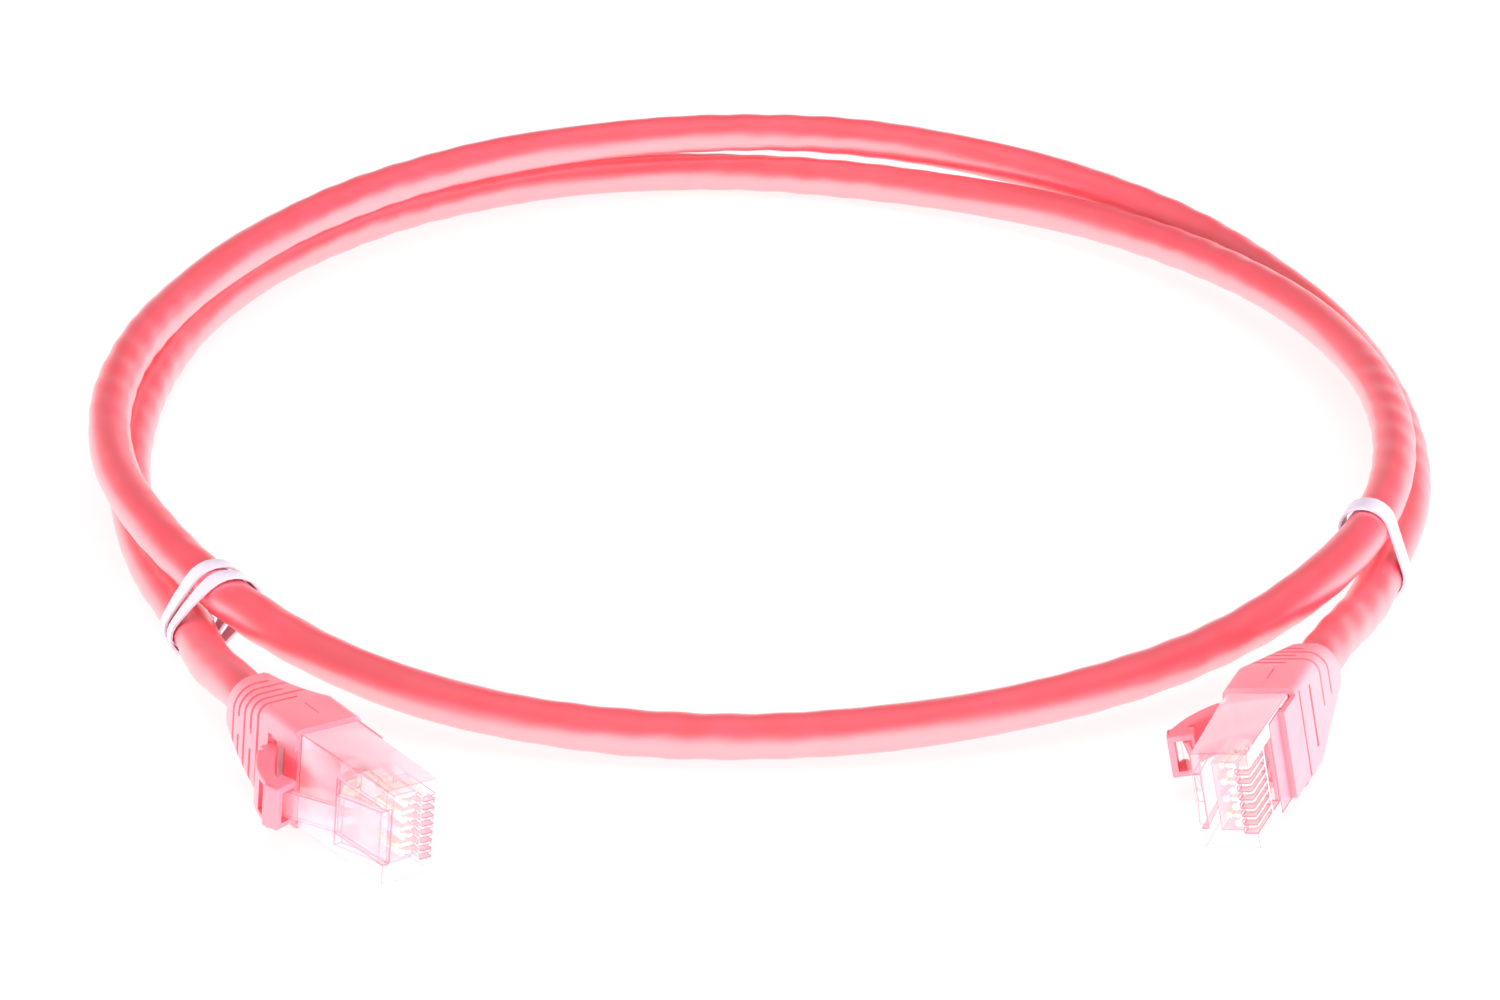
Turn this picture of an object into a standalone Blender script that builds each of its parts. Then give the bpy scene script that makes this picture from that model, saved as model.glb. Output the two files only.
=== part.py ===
"""Ethernet patch cable, one metre, loosely coiled and held by two twist ties.

Two 8P8C plugs with snagless boots lie on their narrow sides in front of the coil.
Units are metres, +Z is up, and everything rests on the plane z = 0.
The origin is the middle of the box round the plugs and ties, on that plane.
"""
import math

import bmesh
import bpy
import numpy as np
from mathutils import Matrix, Vector

MM = 0.001

# Cable: a round jacket over the bundle of four twisted pairs.
CABLE_DIAMETER = 5.5 * MM
JACKET_WALL = 0.6 * MM
CORE_CLEARANCE = 0.3 * MM
CABLE_BEVEL_RESOLUTION = 3
ROUTE_STEP = 12.9 * MM

# Clearances.
FIT_GAP = 0.2 * MM
BORE_GAP = 0.3 * MM
BORE_SIDES = 16
BORE_STEPS = 6
CUT_REACH = 3 * MM

# Plug housing, in its own axes: X to the nose, Y to the contacts, Z across the width.
PLUG_WIDTH = 11.68 * MM
NOSE_THICKNESS = 6.6 * MM
LATCH_SIDE_FLARE = 0.8 * MM
PLUG_LENGTH = 21.5 * MM
BOOT_TO_NOSE = 15.9 * MM
NECK_WALL = 0.45 * MM
NECK_WIDTH = 10.6 * MM
CABLE_OFFSET = -0.3 * MM
JACKET_END = 10.5 * MM

# Contacts and wires.
CONTACTS = 8
CONTACT_PITCH = 1.02 * MM
BLADE_THICKNESS = 0.35 * MM
BLADE_SIDE_GAP = 0.12 * MM
BLADE_FRONT = 0.9 * MM
BLADE_BACK = 4.6 * MM
BLADE_RECESS = 0.35 * MM
BLADE_ROUNDING = 0.7 * MM
SLOT_DEPTH = 1.6 * MM
SLOT_END_GAP = 0.5 * MM
WIRE_DIAMETER = 0.85 * MM
WIRE_ROW_OFFSET = 0.45 * MM
WIRE_BUNDLE_RADIUS = 1.25 * MM
WIRE_FAN_LENGTH = 2.1 * MM
WIRE_TIP = 1.7 * MM
CHAMBER_HALF_HEIGHT = 1.45 * MM
CHAMBER_SIDE_ROOM = 0.65 * MM
NOSE_WALL = 1.3 * MM

# Load bar that spaces the wires.
BAR_BACK = 7.8 * MM
BAR_FRONT = 5.5 * MM
BAR_HOLE = 1.06 * MM

# Latch tab: a living hinge at the nose, a wide root with shoulders and a narrow tip.
LATCH_PIVOT = (-0.8 * MM, -2.95 * MM)
LATCH_SHOULDER = (-6.2 * MM, -5.0 * MM)
LATCH_TIP = (-13.9 * MM, -9.3 * MM)
LATCH_ROOT_THICKNESS = 1.0 * MM
LATCH_SHOULDER_THICKNESS = 1.3 * MM
LATCH_TIP_THICKNESS = 0.75 * MM
LATCH_ROOT_WIDTH = 6.2 * MM
LATCH_TIP_WIDTH = 3.26 * MM
LATCH_TRAVEL = 8.0
NOTCH_DEPTH = 0.9 * MM
NOTCH_LENGTH = 2.0 * MM
CHANNEL_LENGTH = 9.0 * MM
CHANNEL_RISE = 0.9 * MM
LATCH_SIDE_GAP = 0.25 * MM

# Boot: a collar over the housing's neck and a ribbed strain relief.
BOOT_WALL = 0.75 * MM
BOOT_CORNER = 1.0 * MM
BOOT_CORNER_STEPS = 4
COLLAR_LENGTH = 6.1 * MM
RELIEF_LENGTH = 12.2 * MM
RELIEF_END_WALL = 0.6 * MM
RELIEF_END_HALF_WIDTH = 3.8 * MM
RELIEF_END_CORNER = 3.0 * MM
RIB_START = 1.9 * MM
RIB_COUNT = 5
RIB_PITCH = 1.75 * MM
GROOVE_WIDTH = 0.55 * MM
GROOVE_DEPTH = 0.6 * MM
TONGUE_THICK_LENGTH = 4.1 * MM
TONGUE_THIN_LENGTH = 7.4 * MM
TONGUE_THIN = 0.35 * MM
TONGUE_MARGIN = 0.5 * MM
TONGUE_ROOT = 1.5 * MM

# How far each relief leans with its cable at its back, towards the contacts and up.
TAIL_LEAN_A = (1.6 * MM, 0.3 * MM)
TAIL_LEAN_B = (0.0, 0.0)

# Boot lever: a curved finger whose pad catches the latch's tip in a window.
LEVER_PIVOT = (-20.3 * MM, -5.3 * MM)
LEVER_WIDTH = 5.2 * MM
LEVER_ROOT_THICKNESS = 2.4 * MM
LEVER_END_THICKNESS = 1.5 * MM
LEVER_BULGE = 0.8 * MM
LEVER_ARC_STEPS = 8
LEVER_RATIO = 2.2
PAD_ON_LATCH = 1.3 * MM
PAD_LENGTH = 2.2 * MM
PAD_OUTER_WALL = 0.8 * MM
PAD_INNER_WALL = 0.45 * MM
PAD_PLAY = 0.2 * MM
PAD_SLACK = 0.35 * MM
WINDOW_SIDE_GAP = 0.25 * MM
RECESS_DEPTH = 0.4 * MM
RECESS_HALF_WIDTH = 3.6 * MM
OPENING_GAP = 0.3 * MM

# Twist ties: a flat coated band round both strands.
TIE_A_WIDTH = 1.8 * MM
TIE_B_WIDTH = 2.8 * MM
TIE_THICKNESS = 0.36 * MM
TIE_GAP = 0.22 * MM
TIE_WRAP_GAP = 1.1 * MM
TIE_WIRE = 0.2 * MM
TIE_WIRE_CLEARANCE = 0.05 * MM
TIE_LOOP_POINTS = 32

# Layout on the resting surface, seen from above.
RING_CENTRE = (-4.5 * MM, 76.2 * MM)
PLUG_A_NOSE = (-38.37 * MM, -110.2 * MM)
PLUG_A_HEADING = -52.0
PLUG_A_ROLL = -6.6
PLUG_A_PITCH = 0.0
PLUG_B_NOSE = (51.6 * MM, -105.81 * MM)
PLUG_B_HEADING = -112.7
PLUG_B_ROLL = 12.5
PLUG_B_PITCH = 2.6

# The route from plug A to plug B. Leads are X, Y from the ring's centre and the lift
# of the cable's underside in mm; turns are degrees round the ring, radius and lift.
LEAD_A = ((-64.8, -69.0, 1.9),)
TURN_ONE = (
    (222, 90.8, 0.9), (211, 86.7, 0.5), (201, 84.2, 0.1), (190, 82.6, 0.0),
    (176, 81.9, 0.0), (158, 82.9, 0.0), (140, 84.0, 0.0), (120, 84.2, 0.0),
    (100, 82.2, 0.0), (82, 79.5, 0.0), (68, 78.0, 0.3), (56, 77.5, 0.9),
    (45, 77.3, 1.5), (33, 77.3, 2.5), (20, 78.0, 3.7), (7, 79.5, 4.8),
    (-7, 81.9, 6.0), (-21, 84.9, 6.8),
)
FRONT_ARC = (
    (-35, 87.3, 6.5), (-50, 86.3, 3.5), (-64, 84.3, 1.6), (-79, 83.1, 0.5),
    (-94, 83.1, 0.0), (-109, 84.6, 0.7), (-123, 86.4, 2.6), (-136, 87.3, 5.5),
)
TURN_TWO = (
    (-149, 86.5, 6.9), (-160, 85.6, 6.4), (-172, 84.6, 6.1), (-185, 83.3, 6.1),
    (-200, 81.8, 6.1), (-220, 81.5, 6.1), (-240, 81.8, 6.1), (-260, 81.6, 6.1),
    (-278, 81.9, 5.8), (-292, 82.8, 4.5), (-304, 83.4, 3.3), (-315, 83.7, 2.2),
    (-327, 83.4, 1.1), (-340, 83.3, 0.4), (-354, 83.6, 0.1), (-368, 84.8, 0.3),
    (-381, 86.9, 0.9),
)
LEAD_B = ((77.5, -42.3, 0.9), (73.8, -52.6, 0.8), (69.3, -62.8, 2.4))
TIE_A_ANGLE = -138.5
TIE_B_ANGLE = -29.9
# How far each tie leans along the cable at its top, and back at its bottom.
TIE_A_LEAN = -0.9 * MM
TIE_B_LEAN = 0.0 * MM
# Shares of the way round, from low on the inner side: the tie's start, and its top.
TIE_START = 0.04
TIE_TOP = 0.35
STRAND_STEP = 0.5 * MM
STRAND_STEP_COUNT = 12
TIE_A_WRAPS = 2
TIE_B_WRAPS = 1

# Derived sizes.
CABLE_RADIUS = CABLE_DIAMETER / 2
CABLE_SIDES = 4 + 2 * CABLE_BEVEL_RESOLUTION
CABLE_REST = CABLE_RADIUS * math.cos(math.pi / CABLE_SIDES)
CONTACT_FACE = NOSE_THICKNESS / 2
LATCH_FACE = -NOSE_THICKNESS / 2
HOUSING_BORE = CABLE_RADIUS + FIT_GAP
NECK_HALF_THICKNESS = HOUSING_BORE + NECK_WALL
BOOT_HALF_THICKNESS = NECK_HALF_THICKNESS + FIT_GAP + BOOT_WALL
BOOT_HALF_WIDTH = NECK_WIDTH / 2 + FIT_GAP + BOOT_WALL
BOOT_BACK = BOOT_TO_NOSE + COLLAR_LENGTH + RELIEF_LENGTH
CONTACT_SPAN = (CONTACTS - 1) * CONTACT_PITCH
CHAMBER_HALF_WIDTH = CONTACT_SPAN / 2 + CHAMBER_SIDE_ROOM


def material(name, colour, roughness, metallic=0.0, alpha=1.0):
    """A Principled material of one plain colour."""
    made = bpy.data.materials.new(name)
    made.use_nodes = True
    shader = made.node_tree.nodes["Principled BSDF"]
    shader.inputs["Base Color"].default_value = (*colour, 1.0)
    shader.inputs["Roughness"].default_value = roughness
    shader.inputs["Metallic"].default_value = metallic
    shader.inputs["Alpha"].default_value = alpha
    return made


def add(name, data, parent=None, at=(0, 0, 0), finish=None):
    """Put a mesh or curve in the scene as a named sub-part."""
    made = bpy.data.objects.new(name, data)
    bpy.context.collection.objects.link(made)
    made.parent = parent
    made.location = at
    if finish:
        data.materials.append(finish)
    return made


def prism(name, outline, half_width, shift=0.0):
    """A mesh with this X, Y outline, running across the width from -half to +half."""
    shape = bmesh.new()
    lower = [shape.verts.new((x, y, shift - half_width)) for x, y in outline]
    upper = [shape.verts.new((x, y, shift + half_width)) for x, y in outline]
    shape.faces.new(lower)
    shape.faces.new(upper)
    for i in range(len(outline)):
        j = (i + 1) % len(outline)
        shape.faces.new((lower[i], lower[j], upper[j], upper[i]))
    bmesh.ops.recalc_face_normals(shape, faces=shape.faces)
    mesh = bpy.data.meshes.new(name)
    shape.to_mesh(mesh)
    shape.free()
    return mesh


def box(name, low, high):
    """A box mesh between two corners."""
    (x0, y0, z0), (x1, y1, z1) = low, high
    outline = ((x0, y0), (x1, y0), (x1, y1), (x0, y1))
    return prism(name, outline, (z1 - z0) / 2, (z0 + z1) / 2)


def rod(name, start, end, radius, sides=16):
    """A cylinder mesh along X, wide enough that its flats clear the radius."""
    shape = bmesh.new()
    across = radius / math.cos(math.pi / sides)
    bmesh.ops.create_cone(
        shape, cap_ends=True, segments=sides, radius1=across, radius2=across,
        depth=end[0] - start[0],
    )
    turn = Matrix.Rotation(math.pi / 2, 4, "Y") @ Matrix.Rotation(math.pi / sides, 4, "Z")
    middle = (Vector(start) + Vector(end)) / 2
    bmesh.ops.transform(shape, matrix=Matrix.Translation(middle) @ turn, verts=shape.verts)
    bmesh.ops.recalc_face_normals(shape, faces=shape.faces)
    mesh = bpy.data.meshes.new(name)
    shape.to_mesh(mesh)
    shape.free()
    return mesh


def loft(name, sections):
    """A closed mesh through rings of points that all have the same count."""
    shape = bmesh.new()
    rings = [[shape.verts.new(point) for point in ring] for ring in sections]
    for first, second in zip(rings, rings[1:]):
        for i in range(len(first)):
            j = (i + 1) % len(first)
            shape.faces.new((first[i], first[j], second[j], second[i]))
    shape.faces.new(rings[0])
    shape.faces.new(rings[-1])
    bmesh.ops.recalc_face_normals(shape, faces=shape.faces)
    mesh = bpy.data.meshes.new(name)
    shape.to_mesh(mesh)
    shape.free()
    return mesh


def combine(target, operation, name, mesh, at=(0, 0, 0)):
    """Cut a tool shape from the target, or join it on, with a Boolean."""
    tool = add(name, mesh, target.parent, at)
    tool.hide_render = True
    tool.display_type = "WIRE"
    change = target.modifiers.new(name, "BOOLEAN")
    change.operation = operation
    change.solver = "EXACT"
    change.object = tool


def contact_height(index):
    """Where contact number index, from 0, sits across the plug's width."""
    return index * CONTACT_PITCH - CONTACT_SPAN / 2


def wire_row(index):
    """Wires lie in two staggered rows, the even ones nearer the contact face."""
    return WIRE_ROW_OFFSET if index % 2 == 0 else -WIRE_ROW_OFFSET


def housing_latch_side(back):
    """The latch side's Y at a distance back from the nose, where it flares out."""
    return LATCH_FACE - LATCH_SIDE_FLARE * back / BOOT_TO_NOSE


def make_housing(tag, frame, finish):
    """Clear housing: body and neck, hollow for the cable, with slots for the blades."""
    half = PLUG_WIDTH / 2
    outline = (
        (0, CONTACT_FACE), (0, LATCH_FACE),
        (-BOOT_TO_NOSE, housing_latch_side(BOOT_TO_NOSE)), (-BOOT_TO_NOSE, CONTACT_FACE),
    )
    housing = add(f"plug_{tag}_housing", prism("housing", outline, half), frame, (0, 0, 0), finish)
    neck = box(
        "neck",
        (-PLUG_LENGTH, CABLE_OFFSET - NECK_HALF_THICKNESS, -NECK_WIDTH / 2),
        (-BOOT_TO_NOSE + NECK_WALL, CABLE_OFFSET + NECK_HALF_THICKNESS, NECK_WIDTH / 2),
    )
    combine(housing, "UNION", f"neck_{tag}", neck)
    bore = rod(
        "bore", (-PLUG_LENGTH - MM, CABLE_OFFSET, 0), (-JACKET_END + FIT_GAP, CABLE_OFFSET, 0),
        HOUSING_BORE,
    )
    combine(housing, "DIFFERENCE", f"cable_bore_{tag}", bore)
    fan_room = WIRE_BUNDLE_RADIUS + WIRE_DIAMETER / 2 + FIT_GAP
    fan = box(
        "fan",
        (-JACKET_END - FIT_GAP, CABLE_OFFSET - fan_room, -CHAMBER_HALF_WIDTH),
        (-BAR_BACK + FIT_GAP, CHAMBER_HALF_HEIGHT, CHAMBER_HALF_WIDTH),
    )
    combine(housing, "DIFFERENCE", f"fan_chamber_{tag}", fan)
    chamber = box(
        "chamber",
        (-BAR_BACK - FIT_GAP, -CHAMBER_HALF_HEIGHT, -CHAMBER_HALF_WIDTH),
        (-NOSE_WALL, CHAMBER_HALF_HEIGHT, CHAMBER_HALF_WIDTH),
    )
    combine(housing, "DIFFERENCE", f"wire_chamber_{tag}", chamber)
    slot_floor = CONTACT_FACE - SLOT_DEPTH
    back = -BLADE_BACK - SLOT_END_GAP
    below = CHAMBER_HALF_HEIGHT - FIT_GAP
    front = -BLADE_FRONT - SLOT_END_GAP
    slot = (
        (back, CONTACT_FACE + MM), (back, slot_floor), (-BLADE_BACK - FIT_GAP, slot_floor),
        (-BLADE_BACK - FIT_GAP, below), (front, below), (front, slot_floor),
        (MM, slot_floor), (MM, CONTACT_FACE + MM),
    )
    slot_half = BLADE_THICKNESS / 2 + BLADE_SIDE_GAP
    for index in range(CONTACTS):
        cut = prism("slot", slot, slot_half, contact_height(index))
        combine(housing, "DIFFERENCE", f"slot_{tag}{index + 1}", cut)
    floor = LATCH_FACE + NOTCH_DEPTH
    channel = (
        (MM, LATCH_FACE - CUT_REACH), (MM, floor), (-NOTCH_LENGTH, floor),
        (-CHANNEL_LENGTH, floor - CHANNEL_RISE), (-CHANNEL_LENGTH, LATCH_FACE - CUT_REACH),
    )
    cut = prism("channel", channel, LATCH_ROOT_WIDTH / 2 + LATCH_SIDE_GAP)
    combine(housing, "DIFFERENCE", f"latch_channel_{tag}", cut)
    return housing


def thick_line(points, thicknesses):
    """The outline round a line of points, with its own thickness at each."""
    sides = ([], [])
    for i, (x, y) in enumerate(points):
        before = Vector(points[max(i - 1, 0)])
        after = Vector(points[min(i + 1, len(points) - 1)])
        along = (after - before).normalized()
        across = Vector((-along.y, along.x)) * thicknesses[i] / 2
        sides[0].append((x + across.x, y + across.y))
        sides[1].append((x - across.x, y - across.y))
    return sides[0] + sides[1][::-1]


def rounded_start(centre, radius, direction, steps=4):
    """Half a circle of points that closes the start of a thick line."""
    first = math.atan2(direction[1], direction[0]) + math.pi / 2
    return [
        (
            centre[0] + radius * math.cos(first + math.pi * i / steps),
            centre[1] + radius * math.sin(first + math.pi * i / steps),
        )
        for i in range(1, steps)
    ]


def make_latch(tag, frame, finish):
    """Latch tab, with its origin on the living hinge at the nose."""
    pivot = Vector(LATCH_PIVOT)
    shoulder = Vector(LATCH_SHOULDER) - pivot
    tip = Vector(LATCH_TIP) - pivot
    root = thick_line(
        ((0, 0), tuple(shoulder * 0.8), tuple(shoulder)),
        (LATCH_ROOT_THICKNESS, LATCH_SHOULDER_THICKNESS, LATCH_SHOULDER_THICKNESS),
    )
    root += rounded_start((0, 0), LATCH_ROOT_THICKNESS / 2, shoulder)[::-1]
    latch = add(
        f"plug_{tag}_latch", prism("latch", root, LATCH_ROOT_WIDTH / 2), frame,
        (*LATCH_PIVOT, 0), finish,
    )
    start = shoulder * 0.7
    finger = thick_line(
        (tuple(start), tuple(shoulder), tuple(tip)),
        (LATCH_TIP_THICKNESS, LATCH_TIP_THICKNESS, LATCH_TIP_THICKNESS),
    )
    combine(
        latch, "UNION", f"latch_finger_{tag}", prism("finger", finger, LATCH_TIP_WIDTH / 2),
        (*LATCH_PIVOT, 0),
    )
    return latch


def latch_line():
    """The point on the latch where the lever's pad sits, and the latch's slope there."""
    tip = Vector(LATCH_TIP)
    along = (tip - Vector(LATCH_SHOULDER)).normalized()
    place = tip - along * PAD_ON_LATCH / abs(along.x)
    slope = math.atan2(-along.y, -along.x)
    return place, slope


def make_lever(tag, frame, finish):
    """Boot lever, with its origin at the root where the real one bends."""
    pivot = Vector(LEVER_PIVOT)
    place, slope = latch_line()
    swing = math.radians(LATCH_TRAVEL) * (1 + LEVER_RATIO)
    tilt = slope - swing / 2
    forward = Vector((math.cos(tilt), math.sin(tilt)))
    outward = Vector((forward.y, -forward.x))
    pad = place - pivot
    reach = (
        LATCH_TIP_THICKNESS / math.cos(swing / 2) / 2
        + PAD_LENGTH / 2 * math.tan(swing / 2) + PAD_PLAY
    )
    window = (-reach, reach + PAD_SLACK)
    walls = (window[0] - PAD_INNER_WALL, window[1] + PAD_OUTER_WALL)

    def across_pad(length, near, far):
        """Corners of a rectangle along the pad, between two depths across it."""
        sides = ((-1, near), (1, near), (1, far), (-1, far))
        return [tuple(pad + forward * a * length / 2 + outward * o) for a, o in sides]

    arm_end = pad + outward * (walls[1] - LEVER_END_THICKNESS / 2)
    control = arm_end / 2 + Vector((arm_end.y, -arm_end.x)).normalized() * LEVER_BULGE * 2
    line = []
    thicknesses = []
    for step in range(LEVER_ARC_STEPS + 1):
        t = step / LEVER_ARC_STEPS
        line.append(tuple(control * 2 * t * (1 - t) + arm_end * t * t))
        thicknesses.append(LEVER_ROOT_THICKNESS * (1 - t) + LEVER_END_THICKNESS * t)
    arm = thick_line(line, thicknesses)
    arm += rounded_start((0, 0), LEVER_ROOT_THICKNESS / 2, line[1])[::-1]
    lever = add(
        f"plug_{tag}_boot_lever", prism("lever", arm, LEVER_WIDTH / 2), frame,
        (*LEVER_PIVOT, 0), finish,
    )
    block = prism("pad", across_pad(PAD_LENGTH, *walls), LEVER_WIDTH / 2)
    combine(lever, "UNION", f"lever_pad_{tag}", block, (*LEVER_PIVOT, 0))
    hole_half = LATCH_TIP_WIDTH / 2 + WINDOW_SIDE_GAP
    hole = prism("window", across_pad(PAD_LENGTH * 3, *window), hole_half)
    combine(lever, "DIFFERENCE", f"lever_window_{tag}", hole, (*LEVER_PIVOT, 0))
    return lever


def rounded_section(x, half_thickness, half_width, corner):
    """A ring of points, a rectangle with round corners about the cable's line."""
    points = []
    for quarter in range(4):
        start = quarter * math.pi / 2
        centre_y = (half_thickness - corner) * (1 if quarter in (0, 3) else -1)
        centre_z = (half_width - corner) * (1 if quarter in (0, 1) else -1)
        for step in range(BOOT_CORNER_STEPS):
            angle = start + step / (BOOT_CORNER_STEPS - 1) * math.pi / 2
            y = CABLE_OFFSET + centre_y + corner * math.cos(angle)
            z = centre_z + corner * math.sin(angle)
            points.append((x, y, z))
    return points


def tail_share(back):
    """How much of the relief lies between its start and this far back from the nose."""
    return max(0.0, (back - BOOT_TO_NOSE - COLLAR_LENGTH) / RELIEF_LENGTH)


def leant(lean, back):
    """How far the cable's line has leant aside inside the boot, this far back."""
    share = tail_share(back)
    return lean[0] * share**2, lean[1] * share**2


def make_boot(tag, frame, finish, lean):
    """Boot: collar, ribbed strain relief, and the tongues on the contact side."""
    relief_start = -BOOT_TO_NOSE - COLLAR_LENGTH
    end_half = CABLE_RADIUS + BORE_GAP + RELIEF_END_WALL

    def section(x, inset=0.0):
        share = tail_share(-x)
        thick = BOOT_HALF_THICKNESS + (end_half - BOOT_HALF_THICKNESS) * share
        wide = BOOT_HALF_WIDTH + (RELIEF_END_HALF_WIDTH - BOOT_HALF_WIDTH) * share
        corner = BOOT_CORNER + (RELIEF_END_CORNER - BOOT_CORNER) * share
        deep = inset * min(1.0, (thick - CABLE_RADIUS - BORE_GAP) / BOOT_WALL / 2)
        aside, up = leant(lean, -x)
        ring = rounded_section(x, thick - deep, wide - inset, corner)
        return [(point[0], point[1] + aside, point[2] + up) for point in ring]

    rings = [section(-BOOT_TO_NOSE), section(relief_start)]
    for rib in range(RIB_COUNT):
        x = relief_start - RIB_START - rib * RIB_PITCH
        rings.append(section(x))
        rings.append(section(x - GROOVE_WIDTH * 0.2, GROOVE_DEPTH))
        rings.append(section(x - GROOVE_WIDTH * 0.8, GROOVE_DEPTH))
        rings.append(section(x - GROOVE_WIDTH))
    rings.append(section(-BOOT_BACK))
    boot = add(f"plug_{tag}_boot", loft("boot", rings), frame, (0, 0, 0), finish)

    top = CABLE_OFFSET + BOOT_HALF_THICKNESS
    tongue_half = PLUG_WIDTH / 2 - TONGUE_MARGIN
    bottom = CONTACT_FACE + FIT_GAP
    steps = (
        (-BOOT_TO_NOSE - TONGUE_ROOT, bottom), (-BOOT_TO_NOSE + TONGUE_THIN_LENGTH, bottom),
        (-BOOT_TO_NOSE + TONGUE_THIN_LENGTH, bottom + TONGUE_THIN),
        (-BOOT_TO_NOSE + TONGUE_THICK_LENGTH, bottom + TONGUE_THIN),
        (-BOOT_TO_NOSE + TONGUE_THICK_LENGTH, top), (-BOOT_TO_NOSE - TONGUE_ROOT, top),
    )
    combine(boot, "UNION", f"tongues_{tag}", prism("tongues", steps, tongue_half))
    pocket_half = NECK_HALF_THICKNESS + FIT_GAP
    pocket = box(
        "pocket",
        (-PLUG_LENGTH - FIT_GAP, CABLE_OFFSET - pocket_half, -NECK_WIDTH / 2 - FIT_GAP),
        (-BOOT_TO_NOSE + MM, CABLE_OFFSET + pocket_half, NECK_WIDTH / 2 + FIT_GAP),
    )
    combine(boot, "DIFFERENCE", f"neck_pocket_{tag}", pocket)
    bore_radius = CABLE_RADIUS + BORE_GAP
    circle = [2 * math.pi * side / BORE_SIDES for side in range(BORE_SIDES)]
    bore_rings = []
    for step in range(BORE_STEPS + 1):
        back = PLUG_LENGTH + (BOOT_BACK + MM - PLUG_LENGTH) * step / BORE_STEPS
        aside, up = leant(lean, back)
        bore_rings.append([
            (-back, CABLE_OFFSET + aside + bore_radius * math.cos(turn),
             up + bore_radius * math.sin(turn))
            for turn in circle
        ])
    bore = loft("boot_bore", bore_rings)
    combine(boot, "DIFFERENCE", f"boot_bore_{tag}", bore)
    surface = CABLE_OFFSET - BOOT_HALF_THICKNESS
    root = LEVER_ROOT_THICKNESS / 2 + OPENING_GAP
    start = LEVER_PIVOT[0] - root
    recess = box(
        "recess", (start, surface - MM, -RECESS_HALF_WIDTH),
        (-BOOT_TO_NOSE + MM, surface + RECESS_DEPTH, RECESS_HALF_WIDTH),
    )
    combine(boot, "DIFFERENCE", f"lever_recess_{tag}", recess)
    side = LEVER_WIDTH / 2 + OPENING_GAP
    opening = box(
        "opening", (start, surface - MM, -side),
        (start + 2 * root, CABLE_OFFSET - pocket_half + MM, side),
    )
    combine(boot, "DIFFERENCE", f"lever_opening_{tag}", opening)
    return boot


def make_load_bar(tag, frame, finish):
    """The bar with one hole for each wire, in two staggered rows."""
    half = CHAMBER_HALF_WIDTH - FIT_GAP
    thick = CHAMBER_HALF_HEIGHT - FIT_GAP
    body = box("bar", (-BAR_BACK, -thick, -half), (-BAR_FRONT, thick, half))
    bar = add(f"plug_{tag}_load_bar", body, frame, (0, 0, 0), finish)
    for index in range(CONTACTS):
        place = (wire_row(index), contact_height(index))
        hole = rod(
            "hole", (-BAR_BACK - MM, *place), (-BAR_FRONT + MM, *place), BAR_HOLE / 2, 8
        )
        combine(bar, "DIFFERENCE", f"bar_hole_{tag}{index + 1}", hole)
    return bar


def make_contact(tag, index, frame, finish):
    """One gold-plated blade, standing on its own wire."""
    top = CONTACT_FACE - BLADE_RECESS
    foot = wire_row(index) + WIRE_DIAMETER / 2 + FIT_GAP / 2
    shoulder = CONTACT_FACE - SLOT_DEPTH + FIT_GAP
    front = -BLADE_FRONT
    step = -BLADE_FRONT - SLOT_END_GAP - FIT_GAP
    outline = [(-BLADE_BACK, top), (-BLADE_BACK, foot), (step, foot), (step, shoulder)]
    outline.append((front, shoulder))
    for corner in range(4):
        angle = corner / 3 * math.pi / 2
        outline.append(
            (
                front - BLADE_ROUNDING * (1 - math.cos(angle)),
                top - BLADE_ROUNDING * (1 - math.sin(angle)),
            )
        )
    blade = prism("blade", outline, BLADE_THICKNESS / 2, contact_height(index))
    return add(f"plug_{tag}_contact_{index + 1}", blade, frame, (0, 0, 0), finish)


def tube(name, points, radius, resolution, finish, wall=None, parent=None):
    """A round tube along points, solid with capped ends or hollow with this wall."""
    curve = bpy.data.curves.new(name, "CURVE")
    curve.dimensions = "3D"
    curve.twist_mode = "Z_UP"
    curve.bevel_depth = radius
    curve.bevel_resolution = resolution
    curve.use_fill_caps = wall is None
    line = curve.splines.new("POLY")
    line.points.add(len(points) - 1)
    for vertex, point in zip(line.points, points):
        vertex.co = (*point, 1.0)
    made = add(name, curve, parent, (0, 0, 0), finish)
    if wall:
        shell = made.modifiers.new("wall", "SOLIDIFY")
        shell.thickness = wall
        shell.offset = -1.0
        shell.use_even_offset = True
    return made


def make_wire(tag, index, frame, finish):
    """One insulated conductor, from the bundle through the load bar to its blade."""
    rank = index // 2 - 1.5
    angle = rank * math.pi / 4
    side = 1 if index % 2 == 0 else -1
    start_y = CABLE_OFFSET + side * WIRE_BUNDLE_RADIUS * math.cos(angle)
    start_z = WIRE_BUNDLE_RADIUS * math.sin(angle)
    begin = -JACKET_END + FIT_GAP * 2
    points = [(-WIRE_TIP, wire_row(index), contact_height(index))]
    steps = 6
    for step in range(steps + 1):
        share = step / steps
        ease = share * share * (3 - 2 * share)
        x = begin + WIRE_FAN_LENGTH * (1 - share)
        y = wire_row(index) + (start_y - wire_row(index)) * ease
        z = contact_height(index) + (start_z - contact_height(index)) * ease
        points.append((x, y, z))
    return tube(
        f"plug_{tag}_wire_{index + 1}", points, WIRE_DIAMETER / 2, 1, finish, parent=frame
    )


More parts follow.
